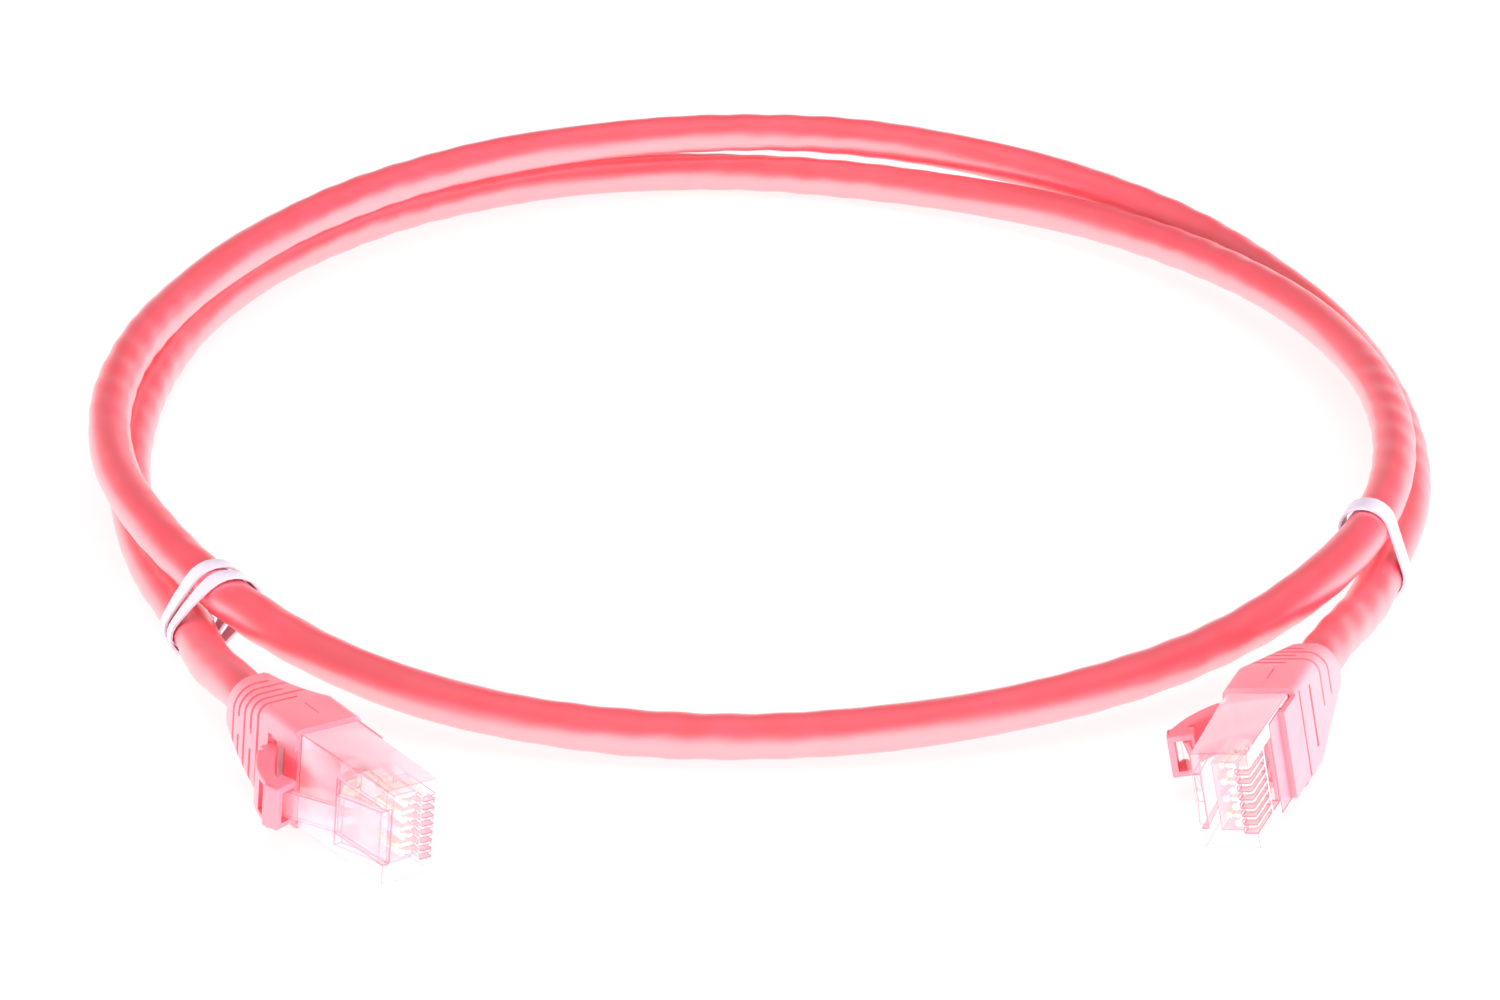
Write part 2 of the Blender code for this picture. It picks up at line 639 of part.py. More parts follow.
def plug_frame(tag, nose, heading, roll, pitch):
    """An empty at the middle of the nose, turned and set so that the boot rests on z = 0."""
    turn = (
        Matrix.Rotation(math.radians(heading), 4, "Z")
        @ Matrix.Rotation(math.radians(-pitch), 4, "Y")
        @ Matrix.Rotation(math.radians(roll), 4, "X")
    )
    deep = BOOT_HALF_THICKNESS - BOOT_CORNER
    wide = BOOT_HALF_WIDTH - BOOT_CORNER
    corners = [
        turn @ Vector((-BOOT_TO_NOSE - back, CABLE_OFFSET + side * deep, -wide))
        for back in (0, COLLAR_LENGTH)
        for side in (-1, 1)
    ]
    height = BOOT_CORNER - min(corner.z for corner in corners)
    frame = add(f"plug_{tag}_frame", None)
    place = Vector((RING_CENTRE[0] + nose[0], RING_CENTRE[1] + nose[1], height))
    frame.matrix_world = Matrix.Translation(place) @ turn
    return frame


def on_ring(degrees, radius_mm, lift_mm):
    """A centreline point from a station round the ring."""
    angle = math.radians(degrees)
    x = RING_CENTRE[0] + radius_mm * MM * math.cos(angle)
    y = RING_CENTRE[1] + radius_mm * MM * math.sin(angle)
    return Vector((x, y, CABLE_REST + lift_mm * MM))


def beside_ring(x_mm, y_mm, lift_mm):
    """A centreline point from a place beside the ring."""
    return Vector(
        (RING_CENTRE[0] + x_mm * MM, RING_CENTRE[1] + y_mm * MM, CABLE_REST + lift_mm * MM)
    )


def smooth_curve(stations, first_way, last_way, per_span=12):
    """Points of the cubic spline through the stations, leaving along the given ways."""
    points = np.array([tuple(station) for station in stations])
    spans = np.linalg.norm(np.diff(points, axis=0), axis=1)
    slopes = np.diff(points, axis=0) / spans[:, None]
    count = len(points)
    system = np.zeros((count, count))
    wanted = np.zeros((count, 3))
    system[0, 0], system[0, 1] = 2 * spans[0], spans[0]
    wanted[0] = 6 * (slopes[0] - np.array(first_way))
    system[-1, -1], system[-1, -2] = 2 * spans[-1], spans[-1]
    wanted[-1] = 6 * (np.array(last_way) - slopes[-1])
    for i in range(1, count - 1):
        system[i, i - 1] = spans[i - 1]
        system[i, i] = 2 * (spans[i - 1] + spans[i])
        system[i, i + 1] = spans[i]
        wanted[i] = 6 * (slopes[i] - slopes[i - 1])
    bends = np.linalg.solve(system, wanted)
    curve = []
    for i in range(count - 1):
        for step in range(per_span):
            b = step / per_span
            a = 1 - b
            flat = a * points[i] + b * points[i + 1]
            bow = (a**3 - a) * bends[i] + (b**3 - b) * bends[i + 1]
            curve.append(flat + bow * spans[i] ** 2 / 6)
    curve.append(points[-1])
    return np.array(curve)


def walk(curve, step):
    """Points an even step apart along a finely divided curve, with both its ends."""
    lengths = np.concatenate([[0], np.cumsum(np.linalg.norm(np.diff(curve, axis=0), axis=1))])
    count = max(2, round(lengths[-1] / step))
    wanted = np.linspace(0, lengths[-1], count + 1)
    return np.stack([np.interp(wanted, lengths, curve[:, k]) for k in range(3)], axis=1)


def cable_in_plug(frame, lean, back):
    """The point on the cable's line inside a plug, this far back from the nose."""
    aside, up = leant(lean, back)
    return frame.matrix_world @ Vector((-back, CABLE_OFFSET + aside, up))


def cable_way(frame, lean):
    """The way in which the cable leaves the back of a boot."""
    slope = 2 / RELIEF_LENGTH
    way = Vector((-1, lean[0] * slope, lean[1] * slope)).normalized()
    return frame.matrix_world.to_3x3() @ way


def cable_route(frame_a, frame_b, inner_end):
    """The cable's centreline: along each plug and boot, one smooth curve between them."""
    stations = [cable_in_plug(frame_a, TAIL_LEAN_A, BOOT_BACK)]
    stations += [beside_ring(*place) for place in LEAD_A]
    stations += [on_ring(*place) for place in TURN_ONE + FRONT_ARC + TURN_TWO]
    stations += [beside_ring(*place) for place in LEAD_B]
    stations.append(cable_in_plug(frame_b, TAIL_LEAN_B, BOOT_BACK))
    out_of_a = cable_way(frame_a, TAIL_LEAN_A)
    into_b = -cable_way(frame_b, TAIL_LEAN_B)
    free = walk(smooth_curve(stations, out_of_a, into_b), ROUTE_STEP)
    free[:, 2] = np.maximum(free[:, 2], CABLE_REST)
    leaning = [BOOT_BACK - RELIEF_LENGTH * share for share in (1.0, 0.67, 0.33)]
    start = [tuple(cable_in_plug(frame_a, TAIL_LEAN_A, back)) for back in [inner_end] + leaning]
    halfway = (BOOT_BACK + inner_end) / 2
    end = [tuple(cable_in_plug(frame_b, TAIL_LEAN_B, back)) for back in (halfway, inner_end)]
    return start + [tuple(point) for point in free] + end


def report_route(points):
    """Print the cable's length and the least gap between its turns."""
    line = np.array(points)
    steps = np.linalg.norm(np.diff(line, axis=0), axis=1)
    along = np.concatenate([[0], np.cumsum(steps)])
    least = min(
        np.linalg.norm(line[i] - line[j])
        for i in range(len(line))
        for j in range(i)
        if along[i] - along[j] > 10 * CABLE_DIAMETER
    )
    fine = walk(line, 2 * MM)
    for i in range(0, len(fine) - 30):
        far = fine[i + 30:]
        least = min(least, np.linalg.norm(far - fine[i], axis=1).min())
    print(f"cable: {len(points)} points, {along[-1] * 1000:.0f} mm long")
    print(f"least gap between its turns: {(least - CABLE_DIAMETER) * 1000:.2f} mm")


def strands_at(points, degrees):
    """Short stretches of the two strands at this angle of the ring, the lower one first."""
    line = walk(np.array(points), STRAND_STEP)
    arms = line[:, :2] - np.array(RING_CENTRE)
    wanted = np.array([math.cos(math.radians(degrees)), math.sin(math.radians(degrees))])
    ahead = arms @ wanted
    aside = arms[:, 0] * wanted[1] - arms[:, 1] * wanted[0]
    found = [
        line[i - STRAND_STEP_COUNT:i + STRAND_STEP_COUNT + 1]
        for i in range(1, len(line))
        if aside[i - 1] * aside[i] <= 0 and ahead[i] > 0
    ]
    return sorted(found, key=lambda stretch: stretch[STRAND_STEP_COUNT][2])[:2]


def hollow_loft(name, outer, inner):
    """A tube between two runs of rings, open at both of its ends."""
    shape = bmesh.new()
    walls = []
    for sections in (outer, inner):
        rings = [[shape.verts.new(point) for point in ring] for ring in sections]
        for first, second in zip(rings, rings[1:]):
            for i in range(len(first)):
                j = (i + 1) % len(first)
                shape.faces.new((first[i], first[j], second[j], second[i]))
        walls.append((rings[0], rings[-1]))
    for outside, inside in zip(*walls):
        for i in range(len(outside)):
            j = (i + 1) % len(outside)
            shape.faces.new((outside[i], outside[j], inside[j], inside[i]))
    bmesh.ops.recalc_face_normals(shape, faces=shape.faces)
    mesh = bpy.data.meshes.new(name)
    shape.to_mesh(mesh)
    shape.free()
    return mesh


def make_tie(tag, points, degrees, lean, wraps, flat, coating, wire):
    """A flat coated band with a wire along it, wound round both strands."""
    low, high = strands_at(points, degrees)
    way = Vector(low[-1] - low[0] + high[-1] - high[0]).normalized()
    centre = Vector(low[STRAND_STEP_COUNT] + high[STRAND_STEP_COUNT]) / 2
    reach = CABLE_RADIUS + TIE_GAP + TIE_THICKNESS / 2
    pitch = flat + TIE_WRAP_GAP
    lap = 0 if wraps > 1 else pitch

    def on_strand(stretch, along):
        """Where a strand passes the plane this far along the tie's own line."""
        offsets = (stretch - np.array(centre)) @ np.array(way)
        return Vector([np.interp(along, offsets, stretch[:, k]) for k in range(3)])

    def place(share, across, out):
        """A point of the band: its share of the winding, across its width, and out."""
        along = (share - 0.5) * pitch * (wraps if wraps > 1 else 0) + across
        along += lean * math.cos(2 * math.pi * (share * wraps + TIE_START - TIE_TOP))
        bottom = on_strand(low, along)
        top = on_strand(high, along)
        up = (top - bottom).normalized()
        aside = way.cross(up).normalized()
        straight = (top - bottom).length
        bend = reach * math.pi
        around = 2 * (straight + bend)
        run = (share * (around * wraps - lap) + around * TIE_START) % around
        if run < straight:
            return bottom + up * run + aside * (reach + out)
        if run < straight + bend:
            angle = (run - straight) / reach
            outward = aside * math.cos(angle) + up * math.sin(angle)
            return top + outward * (reach + out)
        if run < 2 * straight + bend:
            return top - up * (run - straight - bend) - aside * (reach + out)
        angle = (run - 2 * straight - bend) / reach
        outward = aside * math.cos(angle) + up * math.sin(angle)
        return bottom - outward * (reach + out)

    def band(width, thickness):
        """The band's rectangular sections, all the way along its winding."""
        corners = ((-1, -1), (1, -1), (1, 1), (-1, 1))
        count = wraps * TIE_LOOP_POINTS
        return [
            [place(step / count, a * width / 2, o * thickness / 2) for a, o in corners]
            for step in range(count + 1)
        ]

    tunnel = TIE_WIRE + 2 * TIE_WIRE_CLEARANCE
    shell = hollow_loft("coating", band(flat, TIE_THICKNESS), band(tunnel, tunnel))
    add(f"twist_tie_{tag}_coating", shell, None, (0, 0, 0), coating)
    core = loft("wire", band(TIE_WIRE, TIE_WIRE))
    add(f"twist_tie_{tag}_wire", core, None, (0, 0, 0), wire)


def main():
    for old in list(bpy.data.objects):
        bpy.data.objects.remove(old)
    clear = material("clear polycarbonate", (0.93, 0.95, 0.96), 0.08, 0.0, 0.35)
    jacket_red = material("red PVC jacket", (0.85, 0.05, 0.07), 0.35)
    boot_red = material("soft red PVC", (0.88, 0.10, 0.12), 0.45)
    gold = material("gold plate", (0.83, 0.62, 0.25), 0.25, 1.0)
    bar_white = material("natural polycarbonate", (0.85, 0.85, 0.82), 0.4)
    foil = material("bundled pairs", (0.75, 0.72, 0.68), 0.6)
    tie_white = material("white coated tie", (0.88, 0.90, 0.93), 0.4)
    steel = material("tie wire", (0.55, 0.55, 0.57), 0.3, 1.0)
    pair_colours = (
        ("white and orange", (0.90, 0.75, 0.60)), ("orange", (0.85, 0.35, 0.05)),
        ("white and green", (0.70, 0.88, 0.70)), ("blue", (0.05, 0.18, 0.65)),
        ("white and blue", (0.68, 0.76, 0.92)), ("green", (0.05, 0.45, 0.12)),
        ("white and brown", (0.82, 0.72, 0.62)), ("brown", (0.30, 0.14, 0.05)),
    )
    insulations = [
        material(f"{name} insulation", colour, 0.5) for name, colour in pair_colours
    ]
    frames = {
        "a": plug_frame("a", PLUG_A_NOSE, PLUG_A_HEADING, PLUG_A_ROLL, PLUG_A_PITCH),
        "b": plug_frame("b", PLUG_B_NOSE, PLUG_B_HEADING, PLUG_B_ROLL, PLUG_B_PITCH),
    }
    bpy.context.view_layer.update()
    leans = {"a": TAIL_LEAN_A, "b": TAIL_LEAN_B}
    for tag, frame in frames.items():
        make_housing(tag, frame, clear)
        make_latch(tag, frame, clear)
        make_boot(tag, frame, boot_red, leans[tag])
        make_lever(tag, frame, boot_red)
        make_load_bar(tag, frame, bar_white)
        for index in range(CONTACTS):
            make_contact(tag, index, frame, gold)
            make_wire(tag, index, frame, insulations[index])
    jacket_line = cable_route(frames["a"], frames["b"], JACKET_END)
    report_route(jacket_line)
    tube(
        "cable_jacket", jacket_line, CABLE_RADIUS, CABLE_BEVEL_RESOLUTION, jacket_red,
        wall=JACKET_WALL,
    )
    core_radius = CABLE_RADIUS - JACKET_WALL - CORE_CLEARANCE
    tube("cable_core", jacket_line, core_radius, CABLE_BEVEL_RESOLUTION, foil)
    for tag, degrees, lean, wraps, flat in (
        ("a", TIE_A_ANGLE, TIE_A_LEAN, TIE_A_WRAPS, TIE_A_WIDTH),
        ("b", TIE_B_ANGLE, TIE_B_LEAN, TIE_B_WRAPS, TIE_B_WIDTH),
    ):
        make_tie(tag, jacket_line, degrees, lean, wraps, flat, tie_white, steel)


main()
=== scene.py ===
"""An ethernet patch cable, one metre long, loosely coiled and held by two twist ties."""
import math

import bmesh
import bpy
import numpy as np
from mathutils import Matrix, Vector


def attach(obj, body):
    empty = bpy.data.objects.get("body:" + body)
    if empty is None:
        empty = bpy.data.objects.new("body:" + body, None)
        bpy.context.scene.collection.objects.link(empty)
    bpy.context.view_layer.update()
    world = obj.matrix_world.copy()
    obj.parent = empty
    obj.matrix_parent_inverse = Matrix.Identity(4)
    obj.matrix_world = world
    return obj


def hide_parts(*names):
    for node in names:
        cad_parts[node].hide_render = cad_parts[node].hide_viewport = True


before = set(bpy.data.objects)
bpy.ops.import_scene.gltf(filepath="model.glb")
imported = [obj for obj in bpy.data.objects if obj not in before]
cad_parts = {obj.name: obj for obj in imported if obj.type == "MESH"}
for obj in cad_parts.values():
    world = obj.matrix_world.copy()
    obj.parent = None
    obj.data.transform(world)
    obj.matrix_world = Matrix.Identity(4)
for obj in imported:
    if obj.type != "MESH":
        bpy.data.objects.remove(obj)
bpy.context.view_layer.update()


# ---------------------------------------------------------------------------------------
# Camera
# A long lens 0.6 m from the middle of the coil, looking down at 27.6 degrees with the
# plugs in front.
# ---------------------------------------------------------------------------------------
lens = bpy.data.cameras.new("camera")
lens.sensor_width = 36
lens.lens = 107.52
lens.clip_start = 0.01
camera = bpy.data.objects.new("camera", lens)
bpy.context.scene.collection.objects.link(camera)
down = math.radians(27.59)
left = math.radians(0.128)
sight = Vector(
    (-math.sin(left) * math.cos(down), math.cos(left) * math.cos(down), -math.sin(down))
)
camera.location = (-0.0045, -0.4532, 0.2668)
camera.rotation_euler = sight.to_track_quat("-Z", "Y").to_euler()
bpy.context.scene.camera = camera


# ---------------------------------------------------------------------------------------
# Cable jacket
# One tube of flexible PVC, 5.5 mm across, extruded over four twisted pairs and coloured
# right through. The pairs' lay shows in it as shallow lobes and dimples.
# ---------------------------------------------------------------------------------------
jacket_radius = 0.00275
jacket_wall = 0.0006
resting_height = jacket_radius * math.cos(math.pi / 10)
cable_offset = -0.0003
relief_start = 0.0220
boot_back = 0.0342
jacket_end = 0.0105
ring_centre = Vector((-0.0045, 0.0762, 0))


def plug_place(x, y, z, heading, roll, pitch):
    """Where a plug lies: its nose, then its turns. Its X runs to the nose, Z across."""
    return (
        Matrix.Translation((x, y, z))
        @ Matrix.Rotation(math.radians(heading), 4, "Z")
        @ Matrix.Rotation(math.radians(-pitch), 4, "Y")
        @ Matrix.Rotation(math.radians(roll), 4, "X")
    )


plug_places = {
    "a": plug_place(-0.04287, -0.0340, 0.006566, -52.0, -6.6, 0.0),
    "b": plug_place(0.0471, -0.02961, 0.007907, -112.7, 12.5, 2.6),
}

# How far each boot's tail leans with its cable at its back, towards the contacts and up.
tail_lean = {"a": (0.0016, 0.0003), "b": (0.0, 0.0)}

# X and Y from the ring's centre and the lift of the cable's underside, in mm.
lead_a = ((-64.8, -69.0, 1.9),)
lead_b = ((77.5, -42.3, 0.9), (73.8, -52.6, 0.8), (69.3, -62.8, 2.4))
# Degrees round the ring, radius and lift, in mm.
turns = (
    (222, 90.8, 0.9), (211, 86.7, 0.5), (201, 84.2, 0.1), (190, 82.6, 0.0),
    (176, 81.9, 0.0), (158, 82.9, 0.0), (140, 84.0, 0.0), (120, 84.2, 0.0),
    (100, 82.2, 0.0), (82, 79.5, 0.0), (68, 78.0, 0.3), (56, 77.5, 0.9),
    (45, 77.3, 1.5), (33, 77.3, 2.5), (20, 78.0, 3.7), (7, 79.5, 4.8),
    (-7, 81.9, 6.0), (-21, 84.9, 6.8),
    (-35, 87.3, 6.5), (-50, 86.3, 3.5), (-64, 84.3, 1.6), (-79, 83.1, 0.5),
    (-94, 83.1, 0.0), (-109, 84.6, 0.7), (-123, 86.4, 2.6), (-136, 87.3, 5.5),
    (-149, 86.5, 6.9), (-160, 85.6, 6.4), (-172, 84.6, 6.1), (-185, 83.3, 6.1),
    (-200, 81.8, 6.1), (-220, 81.5, 6.1), (-240, 81.8, 6.1), (-260, 81.6, 6.1),
    (-278, 81.9, 5.8), (-292, 82.8, 4.5), (-304, 83.4, 3.3), (-315, 83.7, 2.2),
    (-327, 83.4, 1.1), (-340, 83.3, 0.4), (-354, 83.6, 0.1), (-368, 84.8, 0.3),
    (-381, 86.9, 0.9),
)


def beside(x, y, lift):
    """A centreline point beside the ring."""
    return ring_centre + Vector((x, y, lift)) / 1000 + Vector((0, 0, resting_height))


def round_ring(degrees, radius, lift):
    """A centreline point on the ring."""
    angle = math.radians(degrees)
    return beside(radius * math.cos(angle), radius * math.sin(angle), lift)


def in_plug(tag, back):
    """A point on the cable's line inside a plug, this far back from its nose."""
    share = max(0.0, (back - relief_start) / (boot_back - relief_start))
    aside, up = (lean * share**2 for lean in tail_lean[tag])
    return plug_places[tag] @ Vector((-back, cable_offset + aside, up))


def way_out(tag):
    """The way in which the cable leaves the back of a boot."""
    slopes = [2 * lean / (boot_back - relief_start) for lean in tail_lean[tag]]
    return np.array(plug_places[tag].to_3x3() @ Vector((-1, *slopes)).normalized())


def cable_line():
    """The cable's centreline: along each plug and boot, one cubic spline between them."""
    stations = [in_plug("a", boot_back)]
    stations += [beside(*place) for place in lead_a]
    stations += [round_ring(*place) for place in turns]
    stations += [beside(*place) for place in lead_b]
    stations.append(in_plug("b", boot_back))
    points = np.array([tuple(station) for station in stations])
    spans = np.linalg.norm(np.diff(points, axis=0), axis=1)
    slopes = np.diff(points, axis=0) / spans[:, None]
    count = len(points)
    system = np.zeros((count, count))
    wanted = np.zeros((count, 3))
    system[0, 0], system[0, 1] = 2 * spans[0], spans[0]
    wanted[0] = 6 * (slopes[0] - way_out("a"))
    system[-1, -1], system[-1, -2] = 2 * spans[-1], spans[-1]
    wanted[-1] = 6 * (-way_out("b") - slopes[-1])
    for i in range(1, count - 1):
        system[i, i - 1] = spans[i - 1]
        system[i, i] = 2 * (spans[i - 1] + spans[i])
        system[i, i + 1] = spans[i]
        wanted[i] = 6 * (slopes[i] - slopes[i - 1])
    bends = np.linalg.solve(system, wanted)
    in_boot = [jacket_end] + list(np.arange(relief_start, boot_back, 0.001))
    line = [tuple(in_plug("a", back)) for back in in_boot]
    for i in range(count - 1):
        for b in np.arange(0, 1, 0.05):
            a = 1 - b
            bow = (a**3 - a) * bends[i] + (b**3 - b) * bends[i + 1]
            line.append(a * points[i] + b * points[i + 1] + bow * spans[i] ** 2 / 6)
    line += [points[-1]] + [tuple(in_plug("b", back)) for back in reversed(in_boot)]
    line = np.array(line)
    line[:, 2] = np.maximum(line[:, 2], resting_height)
    lengths = np.concatenate([[0], np.cumsum(np.linalg.norm(np.diff(line, axis=0), axis=1))])
    even = np.linspace(0, lengths[-1], round(lengths[-1] / 0.0006) + 1)
    return np.stack([np.interp(even, lengths, line[:, k]) for k in range(3)], axis=1), even


def colour(code):
    """The linear colour of an sRGB hex code."""
    parts = [int(code[i:i + 2], 16) / 255 for i in (1, 3, 5)]
    return tuple(((c + 0.055) / 1.055) ** 2.4 if c > 0.04045 else c / 12.92 for c in parts) + (1,)


def add(finish, kind, inputs=(), **settings):
    """Add a node to a material or world, with its settings, values and links."""
    tree = finish.node_tree
    made = tree.nodes.new("ShaderNode" + kind)
    for name, value in settings.items():
        setattr(made, name, value)
    for name, value in dict(inputs).items():
        if isinstance(value, bpy.types.NodeSocket):
            tree.links.new(value, made.inputs[name])
        else:
            made.inputs[name].default_value = value
    return made


def finish_named(name):
    """A material with an empty node tree."""
    made = bpy.data.materials.new(name)
    made.use_nodes = True
    made.node_tree.nodes.clear()
    return made


# Flexible PVC, extruded: a soft gloss with fine die lines along it, and random patches of
# painted shade, slightly darker, that stand in for the shade in the pairs' dimples. U runs
# round the cable and V along it, in metres.
pvc_jacket = finish_named("flexible PVC jacket, extruded gloss")
place = add(pvc_jacket, "TexCoord")
long_way = add(pvc_jacket, "Mapping", {"Vector": place.outputs["UV"], "Scale": (900, 40, 1)})
die_lines = add(pvc_jacket, "TexNoise", {"Vector": long_way.outputs[0], "Scale": 1.0, "Detail": 3})
dimple_shade_patches = add(
    pvc_jacket, "TexNoise",
    {"Vector": add(
        pvc_jacket, "Mapping", {"Vector": place.outputs["UV"], "Scale": (90, 260, 1)}
    ).outputs[0], "Scale": 1.0, "Detail": 2},
)
painted_shade_share = add(
    pvc_jacket, "MapRange",
    {"Value": dimple_shade_patches.outputs["Fac"], "From Min": 0.35, "From Max": 0.65, "To Min": 0.0,
     "To Max": 1.0},
)
# Painted shade: the darker red where the random patches fall stands in for the dimples' shade.
pvc_colour = add(
    pvc_jacket, "Mix", {"Factor": painted_shade_share.outputs[0], "A": colour("#FF1A3C"), "B": colour("#FF2A4C")},
    data_type="RGBA",
)
pvc_rough = add(
    pvc_jacket, "MapRange",
    {"Value": die_lines.outputs["Fac"], "To Min": 0.24, "To Max": 0.38},
)
pvc_relief = add(
    pvc_jacket, "Bump",
    {"Height": die_lines.outputs["Fac"], "Strength": 0.08, "Distance": 0.0002},
)
pvc_shader = add(
    pvc_jacket, "BsdfPrincipled",
    {"Base Color": pvc_colour.outputs["Result"], "Roughness": pvc_rough.outputs[0],
     "Normal": pvc_relief.outputs[0], "IOR": 2.0, "Specular IOR Level": 0.8,
     "Coat Weight": 1.0, "Coat IOR": 4.0, "Coat Roughness": 0.55},
)
add(pvc_jacket, "OutputMaterial", {"Surface": pvc_shader.outputs[0]})

jacket_path, along = cable_line()


def tube(name, path, radii):
    """A mesh tube along a path, its radius given at each ring and side, open at its ends."""
    sides = radii.shape[1]
    ways = np.gradient(path, axis=0)
    ways /= np.linalg.norm(ways, axis=1)[:, None]
    side = np.cross(ways[0], (0, 0, 1))
    points = []
    for i, way in enumerate(ways):
        side = side - way * (side @ way)
        side /= np.linalg.norm(side)
        up = np.cross(side, way)
        for k in range(sides):
            angle = 2 * math.pi * k / sides
            out = side * math.cos(angle) + up * math.sin(angle)
            points.append(path[i] + out * radii[i, k])
    faces = []
    for i in range(len(path) - 1):
        for k in range(sides):
            j = (k + 1) % sides
            a, b = i * sides, (i + 1) * sides
            faces.append((a + k, b + k, b + j, a + j))
    mesh = bpy.data.meshes.new(name)
    mesh.from_pydata(points, [], faces)
    chart = mesh.uv_layers.new(name="around and along")
    for i in range(len(path) - 1):
        for k in range(sides):
            first = 4 * (i * sides + k)
            edge = 2 * math.pi * jacket_radius / sides
            corners = ((k, i), (k, i + 1), (k + 1, i + 1), (k + 1, i))
            for step, (around, ring) in enumerate(corners):
                chart.data[first + step].uv = (around * edge, along[ring])
    piece = bpy.data.objects.new(name, mesh)
    bpy.context.scene.collection.objects.link(piece)
    return piece


def free():
    """Leave edit mode and select nothing."""
    if bpy.context.object and bpy.context.object.mode == "EDIT":
        bpy.ops.object.mode_set(mode="OBJECT")
    bpy.ops.object.select_all(action="DESELECT")


def pick(piece, kind, test):
    """Go into edit mode with only the parts of this kind selected that pass the test."""
    free()
    piece.select_set(True)
    bpy.context.view_layer.objects.active = piece
    bpy.ops.object.mode_set(mode="EDIT")
    bpy.ops.mesh.select_mode(type=kind)
    bpy.ops.mesh.select_all(action="DESELECT")
    shape = bmesh.from_edit_mesh(piece.data)
    for part in {"VERT": shape.verts, "EDGE": shape.edges, "FACE": shape.faces}[kind]:
        if test(part):
            part.select_set(True)
    bmesh.update_edit_mesh(piece.data)


# Four lobes wind round the cable every 110 mm, and each pair's own twist dimples them.
jacket_sides = 28
lay_pitch = 0.110
pair_pitch = 0.0061
lobe_height = 0.000035
dimple_height = 0.000060
relief_depth = 0.000050
around = np.arange(jacket_sides) * 2 * math.pi / jacket_sides
lay = 2 * math.pi * along[:, None] / lay_pitch
twist = 2 * math.pi * along[:, None] / pair_pitch
radii = (
    jacket_radius
    + lobe_height * np.cos(4 * around[None, :] - lay * 4)
    + dimple_height * np.cos(2 * around[None, :] - twist)
    * (0.55 + 0.45 * np.cos(lay * 1.7 + 1.0))
    - relief_depth
)
jacket = tube("jacket", jacket_path, radii)
pick(jacket, "EDGE", lambda edge: edge.is_boundary)
bpy.ops.mesh.extrude_edges_move()
shape = bmesh.from_edit_mesh(jacket.data)
for vertex in [v for v in shape.verts if v.select]:
    end = min(jacket_path[0], jacket_path[-1], key=lambda p: (Vector(p) - vertex.co).length)
    vertex.co = Vector(end) + (vertex.co - Vector(end)) * (1 - jacket_wall / jacket_radius)
bmesh.update_edit_mesh(jacket.data)
bpy.ops.mesh.select_all(action="SELECT")
bpy.ops.mesh.normals_make_consistent(inside=False)
free()
for face in jacket.data.polygons:
    face.use_smooth = True
jacket.data.materials.append(pvc_jacket)
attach(jacket, "cable")
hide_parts("cable_jacket")


# ---------------------------------------------------------------------------------------
# Cable core and conductors
# Four pairs of solid copper wires in polyethylene insulation, each pair a plain colour
# and a white with a stripe. They are seen only through the clear housings.
# ---------------------------------------------------------------------------------------
def insulation(name, code, stripe):
    """Polyethylene, extruded thin: a waxy satin, flecked with its stripe's colour."""
    made = finish_named(name)
    place = add(made, "TexCoord")
    grain = add(made, "TexNoise", {"Vector": place.outputs["Object"], "Scale": 1800, "Detail": 2})
    edge = add(
        made, "MapRange",
        {"Value": grain.outputs["Fac"], "From Min": 0.52, "From Max": 0.58},
    )
    shade = add(
        made, "Mix", {"Factor": edge.outputs[0], "A": colour(code), "B": colour(stripe)},
        data_type="RGBA",
    )
    relief = add(
        made, "Bump", {"Height": grain.outputs["Fac"], "Strength": 0.1, "Distance": 0.00005}
    )
    shader = add(
        made, "BsdfPrincipled",
        {"Base Color": shade.outputs["Result"], "Roughness": 0.35, "IOR": 1.51,
         "Normal": relief.outputs[0]},
    )
    add(made, "OutputMaterial", {"Surface": shader.outputs[0]})
    return made


def give(node, finish):
    """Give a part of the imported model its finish."""
    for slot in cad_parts[node].material_slots:
        slot.material = finish


wire_finishes = (
    insulation("polyethylene insulation, white and orange", "#F8EEE6", "#F6D0B6"),
    insulation("polyethylene insulation, orange", "#F4B890", "#F6C29C"),
    insulation("polyethylene insulation, white and green", "#EEF5EE", "#CCE8D0"),
    insulation("polyethylene insulation, blue", "#A8BEE8", "#B4C8EE"),
    insulation("polyethylene insulation, white and blue", "#ECF0F8", "#C8D6F2"),
    insulation("polyethylene insulation, green", "#A8D8B0", "#B2DEBA"),
    insulation("polyethylene insulation, white and brown", "#F5EEE8", "#E0CCBE"),
    insulation("polyethylene insulation, brown", "#CCAE9E", "#D2B6A6"),
)
for tag in "ab":
    for number, finish in enumerate(wire_finishes, 1):
        give(f"plug_{tag}_wire_{number}", finish)
give("cable_core", wire_finishes[0])


# ---------------------------------------------------------------------------------------
# Plug housing
# The clear body of an 8P8C plug, moulded in polycarbonate. It is a block with a neck
# that the boot slips over, hollow for the wires, with eight slots for the contacts.
# ---------------------------------------------------------------------------------------
def block(name, low, high):
    """A block between two corners in mm, as a start for shaping."""
    free()
    size = [b - a for a, b in zip(low, high)]
    middle = [(a + b) / 2 for a, b in zip(low, high)]
    bpy.ops.mesh.primitive_cube_add(size=1, location=middle, scale=size)
    piece = bpy.context.object
    piece.name = name
    bpy.ops.object.transform_apply(location=True, rotation=True, scale=True)
    return piece


def rod_along_x(name, start, end, y, radius):
    """A round rod along X in mm."""
    free()
    bpy.ops.mesh.primitive_cylinder_add(
        vertices=40, radius=radius, depth=end - start, location=((start + end) / 2, y, 0),
        rotation=(0, math.pi / 2, 0),
    )
    piece = bpy.context.object
    piece.name = name
    bpy.ops.object.transform_apply(location=True, rotation=True, scale=True)
    return piece


